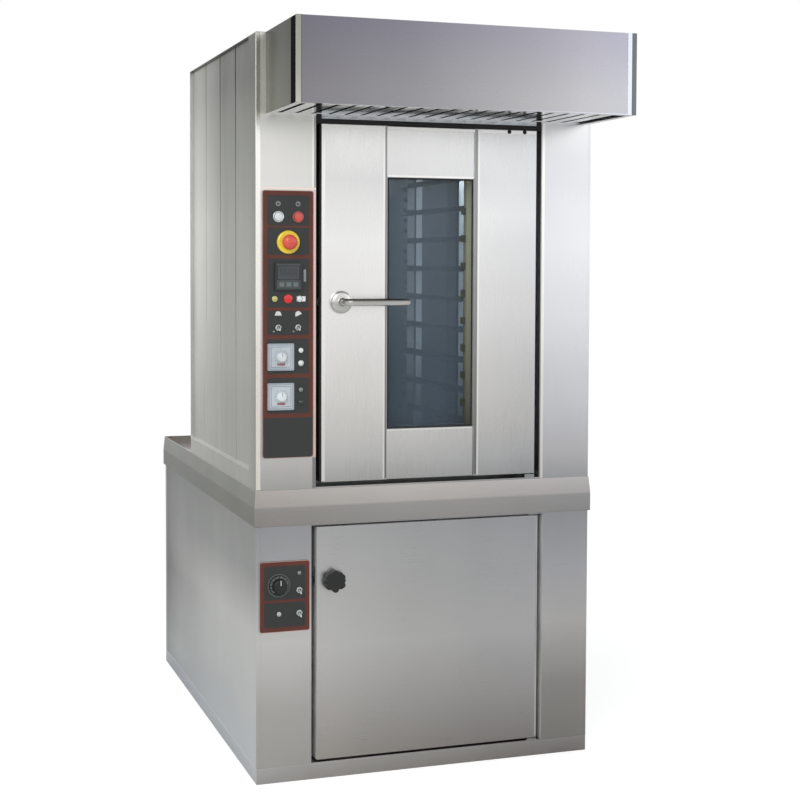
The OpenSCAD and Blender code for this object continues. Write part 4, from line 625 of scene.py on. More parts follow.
# the hood: its front painted darker to the left and towards the top, its sides much darker towards the front
# and the top, as painted reflection and shade
steel("hood_steel", "X", 0.28, [(-0.46, 136, 134, 140), (-0.15, 154, 153, 159), (0.15, 180, 179, 184),
    (0.32, 194, 193, 199), (0.47, 194, 195, 205)], axis="X", grain=0.016, second=("Z", [(1.786, 255, 255, 252),
    (1.83, 252, 252, 250), (1.95, 232, 231, 237), (2.0, 226, 225, 233)]))
steel("hood_side_steel", "Z", 0.3, [(-0.84, 92, 93, 87), (-0.7, 118, 119, 111), (-0.53, 140, 141, 132)],
    axis="Y", edge=0.6, second=("Z", [(1.786, 254, 254, 251), (2.0, 160, 160, 158)]))
steel("mirror_steel", "Y", 0.12, [(1.78, 228, 227, 230), (2.0, 205)], wave=0.8)
steel("lintel_steel", "X", 0.22, [(1.775, 206, 210, 214), (1.812, 216, 220, 224)])
steel("back_steel", "X", 0.33, [(0.0, 186, 187, 186), (2.0, 204, 204, 203)])
# a painted highlight for the left post's folded corner, darker above the door's head
steel("bright_steel", "Z", 0.22, [(0.0, 250, 240, 232), (1.3, 255, 250, 242), (1.75, 255, 255, 250),
    (1.8, 214, 214, 205), (2.1, 190, 190, 180)], grain=0.02)
steel("inner_steel", "X", 0.42, [(0.0, 150, 152, 154), (2.0, 150, 152, 154)], grain=0.008)
steel("liner_steel", "Z", 0.34, [(0.0, 176, 178, 180), (2.0, 176, 178, 180)], grain=0.012)
# in the chamber: uprights and tray stops painted darker towards the bottom as shade, with a painted glow though
# nothing there is a lamp; the runners painted dark as shade
steel("rack_steel", "Z", 0.5, [(0.85, 104, 107, 108), (0.96, 118, 121, 121), (1.04, 186, 189, 189),
    (1.14, 232, 236, 236), (1.72, 250, 252, 252)], metal=0.3, glow=0.22)
steel("stop_steel", "Z", 0.5, [(0.85, 84, 87, 88), (0.96, 92, 95, 95), (1.04, 150, 153, 153),
    (1.14, 190, 194, 194), (1.72, 206, 210, 210)], metal=0.3, glow=0.18)
steel("runner_steel", "Y", 0.4, [(0.8, 62, 66, 70), (1.8, 62, 66, 70)])
# the window reveal: khaki, painted darker towards both panes and towards the bottom as shade
steel("reveal_khaki", "Z", 0.5, [(-0.53, 150, 144, 124), (-0.516, 186, 178, 152), (-0.502, 228, 222, 196),
    (-0.478, 226, 222, 194), (-0.466, 178, 180, 136), (-0.45, 150, 152, 106)], axis="Y", metal=0.0,
    second=("Z", [(0.94, 128, 126, 110), (1.15, 212, 212, 206), (1.63, 255)]))
steel("satin_nickel", "X", 0.2, [(1.2, 205, 205, 202), (1.38, 222, 222, 219)], grain=0.02)
# a painted reflection: the lever light underneath and dark on top
steel("lever_steel", "X", 0.34, [(LEVER_Z - 0.0095, 170, 170, 168), (LEVER_Z - 0.006, 230, 230, 228),
    (LEVER_Z - 0.001, 196, 195, 192), (LEVER_Z + 0.003, 140, 139, 136), (LEVER_Z + 0.0065, 76, 75, 72),
    (LEVER_Z + 0.0095, 56, 56, 52)], grain=0.02)
steel("heat_steel", "X", 0.38, [(0.0, 146, 134, 118), (2.0, 150, 136, 120)])
# painted highlights and shade on the hood's corners: light strips on the front, grey ones at the bends; the hem
# carries the hood's painted reflection gradient
steel("corner_highlight", "Z", 0.3, [(1.78, 196, 194, 186), (1.86, 172, 172, 163), (2.0, 160, 160, 150)])
steel("corner_highlight_blue", "Z", 0.25, [(1.78, 226, 230, 240), (2.0, 218, 222, 234)])
steel("hem_steel", "X", 0.3, [(-0.46, 138, 137, 142), (0.0, 170, 170, 175), (0.3, 214, 216, 224),
    (0.47, 232, 236, 246)], axis="X")
steel("corner_shade_grey", "Z", 0.3, [(1.78, 118, 120, 122), (2.0, 110, 114, 116)])
# on folded edges: the light strips are painted highlights, the grey ones painted shade where the edges round
# off, the pink one partly the fascia's edge and partly its painted reflection, the warm one a painted
# reflection of the fascia
steel("edge_light", "Z", 0.3, [(0.8, 226, 224, 222), (1.2, 252, 252, 248), (1.8, 252, 252, 250)])
steel("edge_pink", "Z", 0.35, [(0.8, 224, 196, 188), (1.6, 232, 206, 202)])
steel("edge_warm", "Z", 0.35, [(1.5, 255, 236, 226), (1.6, 255, 236, 226)])
steel("edge_grey", "Z", 0.3, [(0.8, 140), (1.8, 182, 182, 180)])
steel("seam_grey", "Z", 0.3, [(0.8, 122), (1.2, 150), (1.8, 160)])
# name, colour, roughness, mottle, size of the grain, coat
for name, r, g, b, rough, mottle, size, coat, *more in (("clip_olive", 66, 72, 44, 0.5, 0.06, 180, 0),
        ("chrome", 228, 229, 230, 0.1, 0.02, 180, 0, dict(metallic=1.0, bump=0.03)),
        # the black one is painted shade on the side of the hood's left corner
        ("trim_black", 34, 35, 33, 0.8, 0.06, 180, 0, dict(specular=0.0)),
        ("charcoal", 45, 48, 48, 0.42, 0.1, 420, 0, dict(dark=(42, 43, 44))),
        ("border_red", 104, 57, 48, 0.4, 0.06, 420, 0, dict(specular=0.3)),
        ("line_brown", 66, 46, 42, 0.4, 0.04, 420, 0), ("line_pink", 206, 170, 160, 0.4, 0.03, 420, 0),
        ("black_plastic", 24, 25, 26, 0.42, 0.12, 300, 0), ("bezel_black", 46, 49, 50, 0.36, 0.06, 300, 0),
        ("face_blue", 66, 73, 76, 0.3, 0.06, 260, 0.3), ("display_dark", 44, 49, 51, 0.18, 0.03, 90, 0.6),
        ("key_grey", 112, 124, 122, 0.4, 0.06, 180, 0), ("segment_green", 74, 86, 84, 0.4, 0.02, 180, 0),
        ("timer_silver", 172, 182, 192, 0.3, 0.03, 220, 0.3),
        ("timer_light", 206, 216, 222, 0.3, 0.03, 220, 0.3), ("timer_line", 128, 136, 146, 0.35, 0.06, 180, 0),
        ("mark_pink", 168, 108, 122, 0.4, 0.03, 180, 0), ("white_plastic", 240, 246, 249, 0.25, 0.02, 120, 0.4),
        ("icon_white", 238, 241, 239, 0.45, 0.04, 180, 0), ("icon_grey", 156, 163, 163, 0.5, 0.05, 180, 0),
        ("red_plastic", 236, 88, 74, 0.28, 0.03, 120, 0.4), ("arrow_pink", 246, 138, 128, 0.4, 0.02, 180, 0),
        ("ring_red", 192, 92, 88, 0.3, 0.03, 180, 0.3),
        ("toggle_silver", 226, 232, 230, 0.3, 0.02, 180, 0, dict(metallic=0.1)),
        ("coral_plastic", 230, 92, 84, 0.28, 0.03, 120, 0.4),
        ("yellow_plastic", 255, 224, 62, 0.3, 0.03, 120, 0.3),
        ("lamp_yellow", 216, 210, 122, 0.16, 0.02, 180, 0.6),
        ("lamp_red", 222, 28, 34, 0.14, 0.02, 180, 0.6, dict(emission=0.12)),
        # the light grey for the gaps is painted light, brightening faces that lie in the door gaps' shade; the
        # soft grey after it is painted shade on an edge
        ("gap_light", 226, 226, 223, 0.6, 0.06, 180, 0), ("edge_soft", 178, 178, 177, 0.4, 0.06, 180, 0),
        ("lamp_dim", 198, 203, 201, 0.2, 0.02, 180, 0.6), ("lamp_off", 134, 140, 138, 0.2, 0.02, 180, 0.6),
        ("dial_grey", 92, 96, 96, 0.4, 0.06, 180, 0), ("lamp_white", 240, 244, 244, 0.16, 0.02, 180, 0.6),
        ("lamp_green", 136, 144, 138, 0.2, 0.02, 180, 0.5), ("lamp_dark", 50, 52, 52, 0.2, 0.02, 180, 0.5),
        ("motor_paint", 88, 104, 118, 0.4, 0.06, 120, 0.2),
        ("rubber", 26, 26, 26, 0.72, 0.14, 260, 0, dict(bump=0.3)),
        ("wool", 208, 190, 128, 0.95, 0.2, 40, 0, dict(bump=0.6, depth=0.004, dark=(168, 150, 96))),
        ("brass", 204, 170, 96, 0.26, 0.05, 180, 0, dict(metallic=1.0)),
        ("bronze", 176, 138, 84, 0.34, 0.08, 180, 0, dict(metallic=1.0)),
        ("lamp_glass", 226, 226, 214, 0.35, 0.03, 180, 0.5)):
    plain(name, (r, g, b), rough, mottle, size, coat, **(more[0] if more else {}))
GLASS_SPLIT = -0.49      # depth between the two panes
glazing("pane_glass", (((0.97, 0.98, 0.98, 1.0), 0.5, 0.01), ((0.7, 0.75, 0.79, 1.0), 0.5, 0.2)))

# the slot of a piece, by its material, where it is not the plain stainless one
BY_SLOT = {"stainless": "base_steel", "stainless_light": "post_steel", "stainless_inner": "inner_steel",
    "heater_steel": "heat_steel", "charcoal_paint": "charcoal", "motor_paint": "motor_paint", "wool": "wool",
    "window_glass": "pane_glass", "lamp_glass": "lamp_glass", "seal_rubber": "rubber",
    "black_plastic": "black_plastic", "silver_plastic": "timer_silver", "white_plastic": "white_plastic",
    "red_plastic": "red_plastic", "yellow_plastic": "yellow_plastic", "lamp_lens": "lamp_red",
    "chrome_trim": "chrome", "bronze": "bronze", "brass_fitting": "brass"}
for sub in frame["record"]["subparts"]:
    node = NODES[sub["node"]]
    mat = MATERIALS[BY_SLOT[sub["material_slot"]]]
    for held in node.material_slots:
        held.material = mat
    if not node.material_slots:
        node.data.materials.append(mat)

# ---------------------------------------------------------------- casing
def outer_side(c, n):
    """Whether a face looks outwards at one of the sides."""
    return abs(n.x) > 0.9 and abs(c.x) > 0.47


# the outer sides get their own ramps: lit and shaded copies of the front steel, as painted reflection and shade
paint(dress("base_plinth", "plinth_steel", 1.2), "plinth_side_steel", outer_side)
dress("base_side_panels", "base_side_steel", 1.2)
# the frame's face inside the lower door's right gap is painted light
paint(paint(dress("base_front_frame", "base_steel", 0.5, merge=False), "base_side_steel", outer_side),
    "gap_light", lambda c, n: n.x < -0.9 and 0.3 < c.x < 0.36)
paint(dress("deck_rim", "rim_steel", 1.6, 3), "rim_side_steel",
    lambda c, n: abs(n.x) > 0.5 and abs(c.x) > 0.47)
paint(dress("oven_front_frame", "post_steel", 1.0), "side_steel", outer_side)
dress("lintel_panel", "lintel_steel", 0.8)
dress("oven_side_panels", "side_steel", 1.5)
dress("back_panels", "back_steel", 1.0)
dress("roof_panel", "back_steel", 1.0)
dress("rear_housing", "back_steel", 0.5, merge=False)
dress("door_stiles", "door_steel", 1.4, 3)
dress("door_centre_panels", "door_steel", 1.2)
# the liner's side faces in the window reveal get the khaki with its painted shade
paint(dress("door_liner", "liner_steel", 0.8), "reveal_khaki",
    lambda c, n: abs(n.x) > 0.9 and abs(c.x) < 0.135 and c.y < -0.446)
# the lower door's left edge and top face, inside its gaps, are painted light
paint(dress("prover_door_panel", "base_door_steel", 1.6, 3),
    "gap_light", lambda c, n: (n.x < -0.9 and c.x < -0.31) or (n.z > 0.9 and c.z > 0.68))
LOW_DOOR_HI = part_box("prover_door_panel")[1]
# a grey strip along the lower door's right edge, painted shade where the edge rounds off
block("prover_door_edge", (LOW_DOOR_HI.x - 0.006, FRONT - 0.0003, 0.056),
    (LOW_DOOR_HI.x - 0.001, FRONT + 0.001, LOW_DOOR_HI.z - 0.004), "edge_soft", body="prover_door",
    width=0.15, segments=1)
dress("air_duct_panel", "inner_steel", 0.6)

# corner edges of the posts, where the sheet is folded; the left one carries a painted highlight
for tag, x0, x1, mat in (("left", -0.4843, -0.4722, "bright_steel"), ("right", 0.4775, 0.4843, "post_steel")):
    block("post_corner_" + tag, (x0, FRONT - 0.0006, 0.7925), (x1, FRONT + 0.004, 1.9975), mat,
        slot="stainless_light", width=1.2, segments=3)
    block("base_corner_" + tag, (x0, FRONT - 0.0006, 0.044), (x1, FRONT + 0.004, 0.6935), "base_steel",
        slot="stainless_light", width=1.2, segments=3)

# strips on the posts' folded inner edges beside the door: light ones as painted highlights, grey ones as
# painted shade where the edges round off, a pink one beside the fascia partly its edge and partly its painted
# reflection, and a warm one over it as a painted reflection
SHEET_LO, SHEET_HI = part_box("control_fascia")
POST_LOW, POST_HIGH = 0.7925, 1.7855
for tag, x0, x1, z0, z1, mat in (("left_light", -0.3308, -0.326, SHEET_HI.z + 0.0085, POST_HIGH, "edge_light"),
        ("left_grey", -0.3258, -0.3206, SHEET_HI.z + 0.0085, POST_HIGH, "edge_grey"),
        ("left_low", -0.33, -0.3206, POST_LOW, SHEET_LO.z - 0.001, "edge_grey"),
        ("left_mid", -0.327, -0.3206, SHEET_LO.z, SHEET_HI.z + 0.002, "edge_pink"),
        ("left_top", SHEET_LO.x + 0.002, -0.3206, SHEET_HI.z + 0.003, SHEET_HI.z + 0.008, "edge_warm"),
        ("right_light", 0.3352, 0.3432, POST_LOW, POST_HIGH, "edge_light"),
        ("right_grey", 0.3326, 0.335, POST_LOW, POST_HIGH, "edge_grey")):
    block("post_edge_" + tag, (x0, FRONT - 0.0003, z0), (x1, FRONT + 0.002, z1), mat, slot="stainless_light",
        width=0.2, segments=1)
# dark blocks in the gaps beside the door's head, dark as seal and as painted shade in the gaps, and the seal
# seen over the door
DOOR_HEAD = 1.7662
for tag, x0, x1 in (("left", -0.3196, -0.3056), ("right", 0.3176, 0.3316)):
    block("head_gap_" + tag, (x0, FRONT - 0.0004, DOOR_HEAD), (x1, FRONT + 0.006, 1.8105), "rubber",
        width=0.3)
block("head_seal", (-0.3054, FRONT + 0.0012, DOOR_HEAD), (0.3174, FRONT + 0.011, 1.7786), "rubber",
    width=0.8)
# folded edges and seams of the oven door: light strips on the edges and beside the seams as painted highlights,
# grey ones on the seams
DOOR_SKIN = 0.0003       # how far they stand out; below, from where to where they reach in height
EDGE = (0.81, 1.762)
SEAM = (0.81, 1.764)
HEAD = (1.7555, 1.7635)
for tag, x0, x1, z0, z1, mat in (("edge_left", -0.3042, -0.295, *EDGE, "edge_light"),
        ("edge_head_a", -0.2948, -0.132, *HEAD, "edge_light"),
        ("edge_head_b", -0.121, 0.133, *HEAD, "edge_light"),
        ("edge_head_c", 0.1474, 0.316, *HEAD, "edge_light"),
        ("seam_left_light", -0.1318, -0.1268, *EDGE, "edge_light"),
        ("seam_left", -0.1266, -0.1212, *SEAM, "seam_grey"),
        ("seam_right", 0.1332, 0.142, *SEAM, "seam_grey"),
        ("seam_right_light", 0.1422, 0.1472, *EDGE, "edge_light")):
    block("door_" + tag, (x0, FRONT - DOOR_SKIN, z0), (x1, FRONT + 0.001, z1), mat, body="oven_door",
        width=0.15, segments=1)
# two small buffers on the door's head
for k, x in enumerate((0.235, 0.281)):
    lathe(f"head_buffer_{k}", [(0.0056, -0.001), (0.0056, 0.0016), (0.0042, 0.0028), (0, 0.003)],
        (x, FRONT, 1.7605), "rubber", body="oven_door", n=20)


# window: a rubber frame round the glass, light strips over and under it as painted highlights on the folded
# edges, and the pane's clips
PANE_LO, PANE_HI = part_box("window_glass")
plate("window_frame", [[(PANE_LO.x + e, PANE_LO.z + e), (PANE_HI.x - e, PANE_LO.z + e),
    (PANE_HI.x - e, PANE_HI.z - e), (PANE_LO.x + e, PANE_HI.z - e)] for e in (0.0002, 0.004)],
    PANE_LO.y - 0.0024, PANE_LO.y - 0.0004, "rubber", body="oven_door")
for tag, z0, z1 in (("over", PANE_HI.z + 0.0012, PANE_HI.z + 0.007),
        ("under", PANE_LO.z - 0.0058, PANE_LO.z - 0.0012)):
    block("window_edge_" + tag, (PANE_LO.x, FRONT + 0.003 - DOOR_SKIN, z0), (PANE_HI.x, FRONT + 0.0036, z1),
        "edge_light", body="oven_door", width=0.15, segments=1)
CLIP_LOW, CLIP_PITCH = 1.006, 0.0765
for k in range(8):
    z = CLIP_LOW + CLIP_PITCH * k
    slab(f"pane_clip_{k}", PANE_HI.x - 0.0054, z, 0.0056, 0.01, -0.469, -0.4582, "clip_olive",
        body="oven_door", width=1.5)


# ---------------------------------------------------------------- back and top
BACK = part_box("rear_housing")[1]


def islands(node):
    """The boxes of a node's separate solids."""
    bm = bmesh.new()
    bm.from_mesh(NODES[node].data)
    bmesh.ops.remove_doubles(bm, verts=bm.verts, dist=1e-6)
    seen, boxes = set(), []
    for first in bm.verts:
        if first in seen:
            continue
        heap, group = [first], []
        seen.add(first)
        while heap:
            v = heap.pop()
            group.append(v.co.copy())
            for e in v.link_edges:
                o = e.other_vert(v)
                if o not in seen:
                    seen.add(o)
                    heap.append(o)
        boxes.append(tuple(Vector([pick(c[i] for c in group) for i in range(3)]) for pick in (min, max)))
    bm.free()
    return boxes


def make_screws():
    """Button-head screws with a round socket, in place of the plain ones."""
    bm = bmesh.new()
    for lo, hi in islands("panel_screws"):
        r, h = (hi.x - lo.x) / 2, hi.y - lo.y
        profile = [(r, 0), (r, 0.35 * h), (0.94 * r, 0.55 * h), (0.8 * r, 0.8 * h), (0.56 * r, 0.97 * h),
            (0.5 * r, h), (0.46 * r, 0.97 * h), (0.44 * r, 0.35 * h), (0, 0.35 * h)]
        turn(bm, [(a, -d) for a, d in profile], ((lo.x + hi.x) / 2, lo.y, (lo.z + hi.z) / 2), "Y", 24)
    place(finish_mesh(bm, "panel_screws_piece", "chrome", 30), "cabinet", slot_of("panel_screws"),
        "panel_screws")


LOUVRE_ROWS, LOUVRE_PITCH, LOUVRE_DOWN = 10, 0.028, 0.59


def make_louvres(tag, x0, x1):
    """Pressed hoods over one column of the rear housing's slots."""
    bm = bmesh.new()
    profile = [(-0.0002, 0.0185), (0.003, 0.017), (0.0056, 0.013), (0.0068, 0.008), (0.007, 0.0035),
        (0.006, 0.0035), (0.0057, 0.0078), (0.0046, 0.0118), (0.0022, 0.0152), (-0.0002, 0.0163)]
    for row in range(LOUVRE_ROWS):
        z = BACK.z - LOUVRE_DOWN + LOUVRE_PITCH * row
        skin(bm, [[bm.verts.new((x, BACK.y + d * rise, z + h)) for d, h in profile]
            for x, rise in ((x0, 0.12), (x0 + 0.006, 1), (x1 - 0.006, 1), (x1, 0.12))])
    place(finish_mesh(bm, "louvre_hoods_" + tag, "back_steel", 40), "cabinet", "stainless")


make_screws()
make_louvres("left", -0.183, -0.057)
make_louvres("right", 0.057, 0.183)

# the posts' rear edges, folded inwards to the ribbed panels
POST_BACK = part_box("oven_front_frame")[1].y
for tag, side in (("left", -1), ("right", 1)):
    xs = sorted((side * 0.4836, side * 0.47))
    block("post_fold_" + tag, (xs[0], POST_BACK - 0.0022, 0.764), (xs[1], POST_BACK - 0.0006, 1.996),
        "side_steel", width=0.3)

# joints of the rear housing's lid and of the roof sheet, as thin dark lines
HOUSING_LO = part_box("rear_housing")[0]
LID = BACK.z - 0.032
block("lid_joint_back", (HOUSING_LO.x, BACK.y - 0.001, LID), (BACK.x, BACK.y + 0.0002, LID + 0.0014),
    "seam_grey", width=0.1)
for tag, x0, x1 in (("left", HOUSING_LO.x - 0.0002, HOUSING_LO.x + 0.001),
        ("right", BACK.x - 0.001, BACK.x + 0.0002)):
    block("lid_joint_" + tag, (x0, HOUSING_LO.y + 0.0006, LID), (x1, BACK.y - 0.0008, LID + 0.0014),
        "seam_grey", width=0.1)
ROOF_LO, ROOF_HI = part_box("roof_panel")
ROOF = 2.0
for tag, a, b in (("left", (ROOF_LO.x + 0.014, -0.523), (ROOF_LO.x + 0.0154, ROOF_HI.y - 0.014)),
        ("right", (ROOF_HI.x - 0.0154, -0.523), (ROOF_HI.x - 0.014, ROOF_HI.y - 0.014)),
        ("back", (ROOF_LO.x + 0.014, ROOF_HI.y - 0.0154), (ROOF_HI.x - 0.014, ROOF_HI.y - 0.014))):
    block("roof_fold_" + tag, (*a, ROOF - 0.001), (*b, ROOF + 0.0002), "seam_grey", width=0.1)

# vent collar: welded flange with rivets, and a rolled bead at the top
VENT = (0.206, 0.1605, ROOF)
lathe("vent_flange", ring_profile(0.0602, 0.08, -0.0005, 0.0016, 0.0006), VENT, "back_steel", axis="Z", n=64)
lathe("vent_bead", [(0.0602, 0.053), (0.0615, 0.0535), (0.0622, 0.056), (0.0615, 0.059), (0.0602, 0.0595),
    (0.0602, 0.053)], VENT, "back_steel", axis="Z", n=64)
RIVETS, RIVET_R = 8, 0.0705
for k in range(RIVETS):
    t = 2 * pi * (k + 0.5) / RIVETS
    lathe(f"vent_rivet_{k}", dome_profile(0.003, 0.001, 0.0022, 0.001, 0.0003),
        (VENT[0] + RIVET_R * cos(t), VENT[1] + RIVET_R * sin(t), ROOF), "chrome", axis="Z",
        slot="stainless", n=20)

# water nipple with its nut and thread, and the cable gland with its dome nut
dress("service_inlets", "brass", 0.3)
WATER, GLAND = [((lo.x + hi.x) / 2, BACK.y, (lo.z + hi.z) / 2)
    for lo, hi in sorted(islands("service_inlets"), key=lambda b: b[0].x)]
lathe("water_nut", [(0.0131, -0.0058), (0.0165, -0.0058), (0.017, -0.0066), (0.017, -0.0116),
    (0.016, -0.0124), (0.0131, -0.0124), (0.0131, -0.0058)], WATER, "brass", n=6)
lathe("water_thread", [(0.0131, -0.013)] + [(0.0131 + (0.0007 if k % 2 else 0.0), -0.013 - 0.0008 * k)
    for k in range(1, 12)] + [(0.0128, -0.0226), (0.0128, -0.013), (0.0131, -0.013)], WATER, "brass", n=40)
lathe("gland_nut", [(0.0131, -0.0058), (0.0165, -0.0058), (0.017, -0.0066), (0.017, -0.0104),
    (0.016, -0.0112), (0.0131, -0.0112), (0.0131, -0.0058)], GLAND, "black_plastic", n=6)
lathe("gland_dome", [(0.0131, -0.0114), (0.0158, -0.0114), (0.0158, -0.016), (0.015, -0.019),
    (0.0132, -0.0214), (0.0098, -0.0226), (0.0092, -0.022), (0.0092, -0.0202), (0.0131, -0.0202),
    (0.0131, -0.0114)], GLAND, "black_plastic", n=40)
lathe("gland_seal", [(0.0089, -0.015), (0.0089, -0.0212), (0.007, -0.0222), (0.0056, -0.0214),
    (0.0056, -0.015), (0.0089, -0.015)], GLAND, "rubber", n=32)

# ---------------------------------------------------------------- hood
def make_hood():
    lo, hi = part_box("hood_shell")
    bm = bmesh.new()
    x0, x1, y0, y1, z0, z1 = lo.x, hi.x, lo.y + 0.8 * MM, hi.y, lo.z, hi.z
    t = 2 * MM
    outer = [(x0, y0), (x1, y0), (x1, y1), (x0, y1)]
    inner = [(x0 + t, y0 + t), (x1 - t, y0 + t), (x1 - t, y1), (x0 + t, y1)]
    rings = []
    for pts, z in ((outer, z0), (outer, z1), (inner, z0), (inner, z1 - t)):
        rings.append([bm.verts.new((x, y, z)) for x, y in pts])
    oa, ob, ia, ib = rings
    for a, b in ((0, 1), (1, 2), (3, 0)):
        bm.faces.new((oa[a], oa[b], ob[b], ob[a]))
        bm.faces.new((ia[a], ib[a], ib[b], ia[b]))
        bm.faces.new((oa[a], ia[a], ia[b], oa[b]))
    bm.faces.new(ob)
    bm.faces.new(ib)
    # the open back
    bm.faces.new((oa[2], ob[2], ob[3], oa[3], ia[3], ib[3], ib[2], ia[2]))
    obj = finish_mesh(bm, "hood_shell_piece", "hood_steel")
    # the hood's sides are painted darker than its front, as shade and reflection
    paint(obj, "hood_side_steel", lambda c, n: abs(n.x) > 0.9 and min(abs(c.x - x0), abs(c.x - x1)) < 1e-5)
    paint(obj, "mirror_steel", lambda c, n: n.z < -0.5
        or (y0 + 1e-5 < c.y < y1 - 1e-5 and c.z < z1 - 1e-4 and abs(c.x) < 0.454))
    paint(obj, "back_steel", lambda c, n: n.z > 0.9 and c.z > z1 - 1e-5)
    soften(obj, 1.5, 3)
    place(obj, "cabinet", "stainless", "hood_shell")
    # strips at the hood's corners: a dark one round the side as painted shade, light ones on the front as
    # painted highlights, grey lines as painted shade at the bends, and the hem below with the hood's painted
    # reflection gradient
    lip, lip_top = 0.016, z0 + 0.0015
    for name, a, b, mat, width in (
            ("corner_dark_left", (x0 - 0.0006, y0 + 0.001, z0 + 0.001),
            (x0 + 0.0004, y0 + 0.048, z1 - 0.001), "trim_black", 0.3),
            ("corner_light_left", (x0 - 0.0008, lo.y, z0), (x0 + 0.0125, lo.y + 0.0014, z1), "corner_highlight", 0.5),
            ("line_left", (x0 + 0.0127, lo.y + 0.0003, z0), (x0 + 0.015, lo.y + 0.0014, z1), "corner_shade_grey", 0.2),
            ("corner_light_right", (x1 - 0.0245, lo.y, z0), (x1 - 0.013, lo.y + 0.0012, z1), "corner_highlight_blue", 0.4),
            ("corner_grey_right", (x1 - 0.0125, lo.y, z0), (x1 + 0.0006, lo.y + 0.0014, z1), "corner_shade_grey", 0.5),
            ("hem", (x0 + 0.0155, lo.y + 0.0001, z0), (x1 - 0.025, lo.y + 0.0014, z0 + 0.003),
            "hem_steel", 0.5),
            # the folded lower lip inside the opening
            ("lip_front", (x0 + t, y0 + t, z0), (x1 - t, y0 + t + lip, lip_top), "mirror_steel", 0.4),
            ("lip_left", (x0 + t, y0 + t + lip, z0), (x0 + t + lip, y1, lip_top), "mirror_steel", 0.4),
            ("lip_right", (x1 - t - lip, y0 + t + lip, z0), (x1 - t, y1, lip_top), "mirror_steel", 0.4)):
        block("hood_" + name, a, b, mat, width=width)


make_hood()
dress("hood_filter", "mirror_steel", 0.7)


# ---------------------------------------------------------------- fascias
PRINT = 0.15 * MM        # thickness of the printed layers
FASCIA_EDGE = 14 * MM    # from the sheet's edge to its fields
SHEET_EDGE = 1.7 * MM    # and to its border


def make_fascia(node, tag, low, fields):
    """The printed sheet: a border in one piece round its fields, from the height low up."""
    lo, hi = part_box(node)
    y = lo.y
    dress(node, "charcoal", 0.6)
    left, right = lo.x + FASCIA_EDGE, hi.x - FASCIA_EDGE
    outer = rounded(lo.x + SHEET_EDGE, hi.x - SHEET_EDGE, low, hi.z - SHEET_EDGE, 5 * MM)
    holes = [rounded(left, right, a, b, 4 * MM) for a, b in fields]
    plate(tag + "_border", [outer] + holes, y - PRINT, y - 0.01 * MM, "border_red")
    # a fine dark line round each field, and a light one round the whole sheet
    for k, (a, b) in enumerate(fields):
        line = [rounded(left - e, right + e, a - e, b + e, 4 * MM + e) for e in (1.2 * MM, 0)]
        plate(f"{tag}_field_line_{k}", line, y - PRINT * 1.5, y - PRINT, "line_brown")
    line = [rounded(lo.x + e, hi.x - e, lo.z + e, hi.z - e, r)
        for e, r in ((0.2 * MM, 6 * MM), (SHEET_EDGE, 4.5 * MM))]
    plate(tag + "_line", line, y - PRINT * 1.8, y - PRINT, "line_pink")


UP_LO, UP_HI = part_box("control_fascia")
LOW_LO, LOW_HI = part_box("prover_fascia")
make_fascia("control_fascia", "fascia", 0.984, [(0.9965, 1.0895), (1.102, 1.193), (1.205, 1.268),
    (1.278, 1.406), (1.417, 1.488), (1.4945, UP_HI.z - FASCIA_EDGE)])
make_fascia("prover_fascia", "low_fascia", LOW_LO.z + SHEET_EDGE,
    [(LOW_LO.z + FASCIA_EDGE, 0.488), (0.497, LOW_HI.z - FASCIA_EDGE)])
FACE = UP_LO.y
LOW_FACE = LOW_LO.y
FX = (UP_LO.x + UP_HI.x) / 2
COLUMNS = (FX - 0.027, FX + 0.027)       # the buttons and the toggles stand in two columns
MARK_Z = 1.5515
PICTURE_Z = 1.261
TOGGLE_Z = 1.224
LAMP_Z = 1.3
TIMER_HIGH, TIMER_LOW = 1.146, 1.041

# push-buttons with their rings and marks
for node, tag, mat, bezel in (("start_button", "start", "white_plastic", "chrome"),
        ("stop_button", "stop", "coral_plastic", "ring_red")):
    x, z, r, out = disc(node, FACE)
    lathe(tag + "_cap", [(r - 0.001, -0.02)] + dome_profile(r, -0.002, out - 0.0012, 0.0012, 0.0014),
        (x, FACE, z), mat, body=body_of(node), slot=slot_of(node), replaces=(node,))
    lathe(tag + "_ring", ring_profile(r + 0.0004, 0.015, 0.0001, 0.004, 0.0012), (x, FACE, z), bezel,
        replaces=("switch_bezels",))
    lathe(tag + "_barrel", [(r + 0.0004, -0.0005), (0.0108, -0.0005), (0.0108, -0.009), (0.0128, -0.0092),
        (0.0128, -0.013), (0.0108, -0.0132), (0.0108, -0.036), (r + 0.0004, -0.036), (r + 0.0004, -0.0005)],
        (x, FACE, z), "chrome", n=36)
    slab(tag + "_contact", x, z, 0.012, 0.014, FACE + 0.0365, FACE + 0.048, "black_plastic", width=1)
# marks above the buttons: a ring with a bar
for k, x in enumerate(COLUMNS):
    plate(f"mark_ring_{k}", [circle(x, MARK_Z, 0.0066, 28), circle(x, MARK_Z, 0.004, 28)], FACE - 0.00045,
        FACE - 0.0001, "icon_grey")
    slab(f"mark_bar_{k}", x, MARK_Z + 0.003, 0.0009, 0.0042, FACE - 0.00045, FACE - 0.0001, "icon_grey",
        width=0.1)

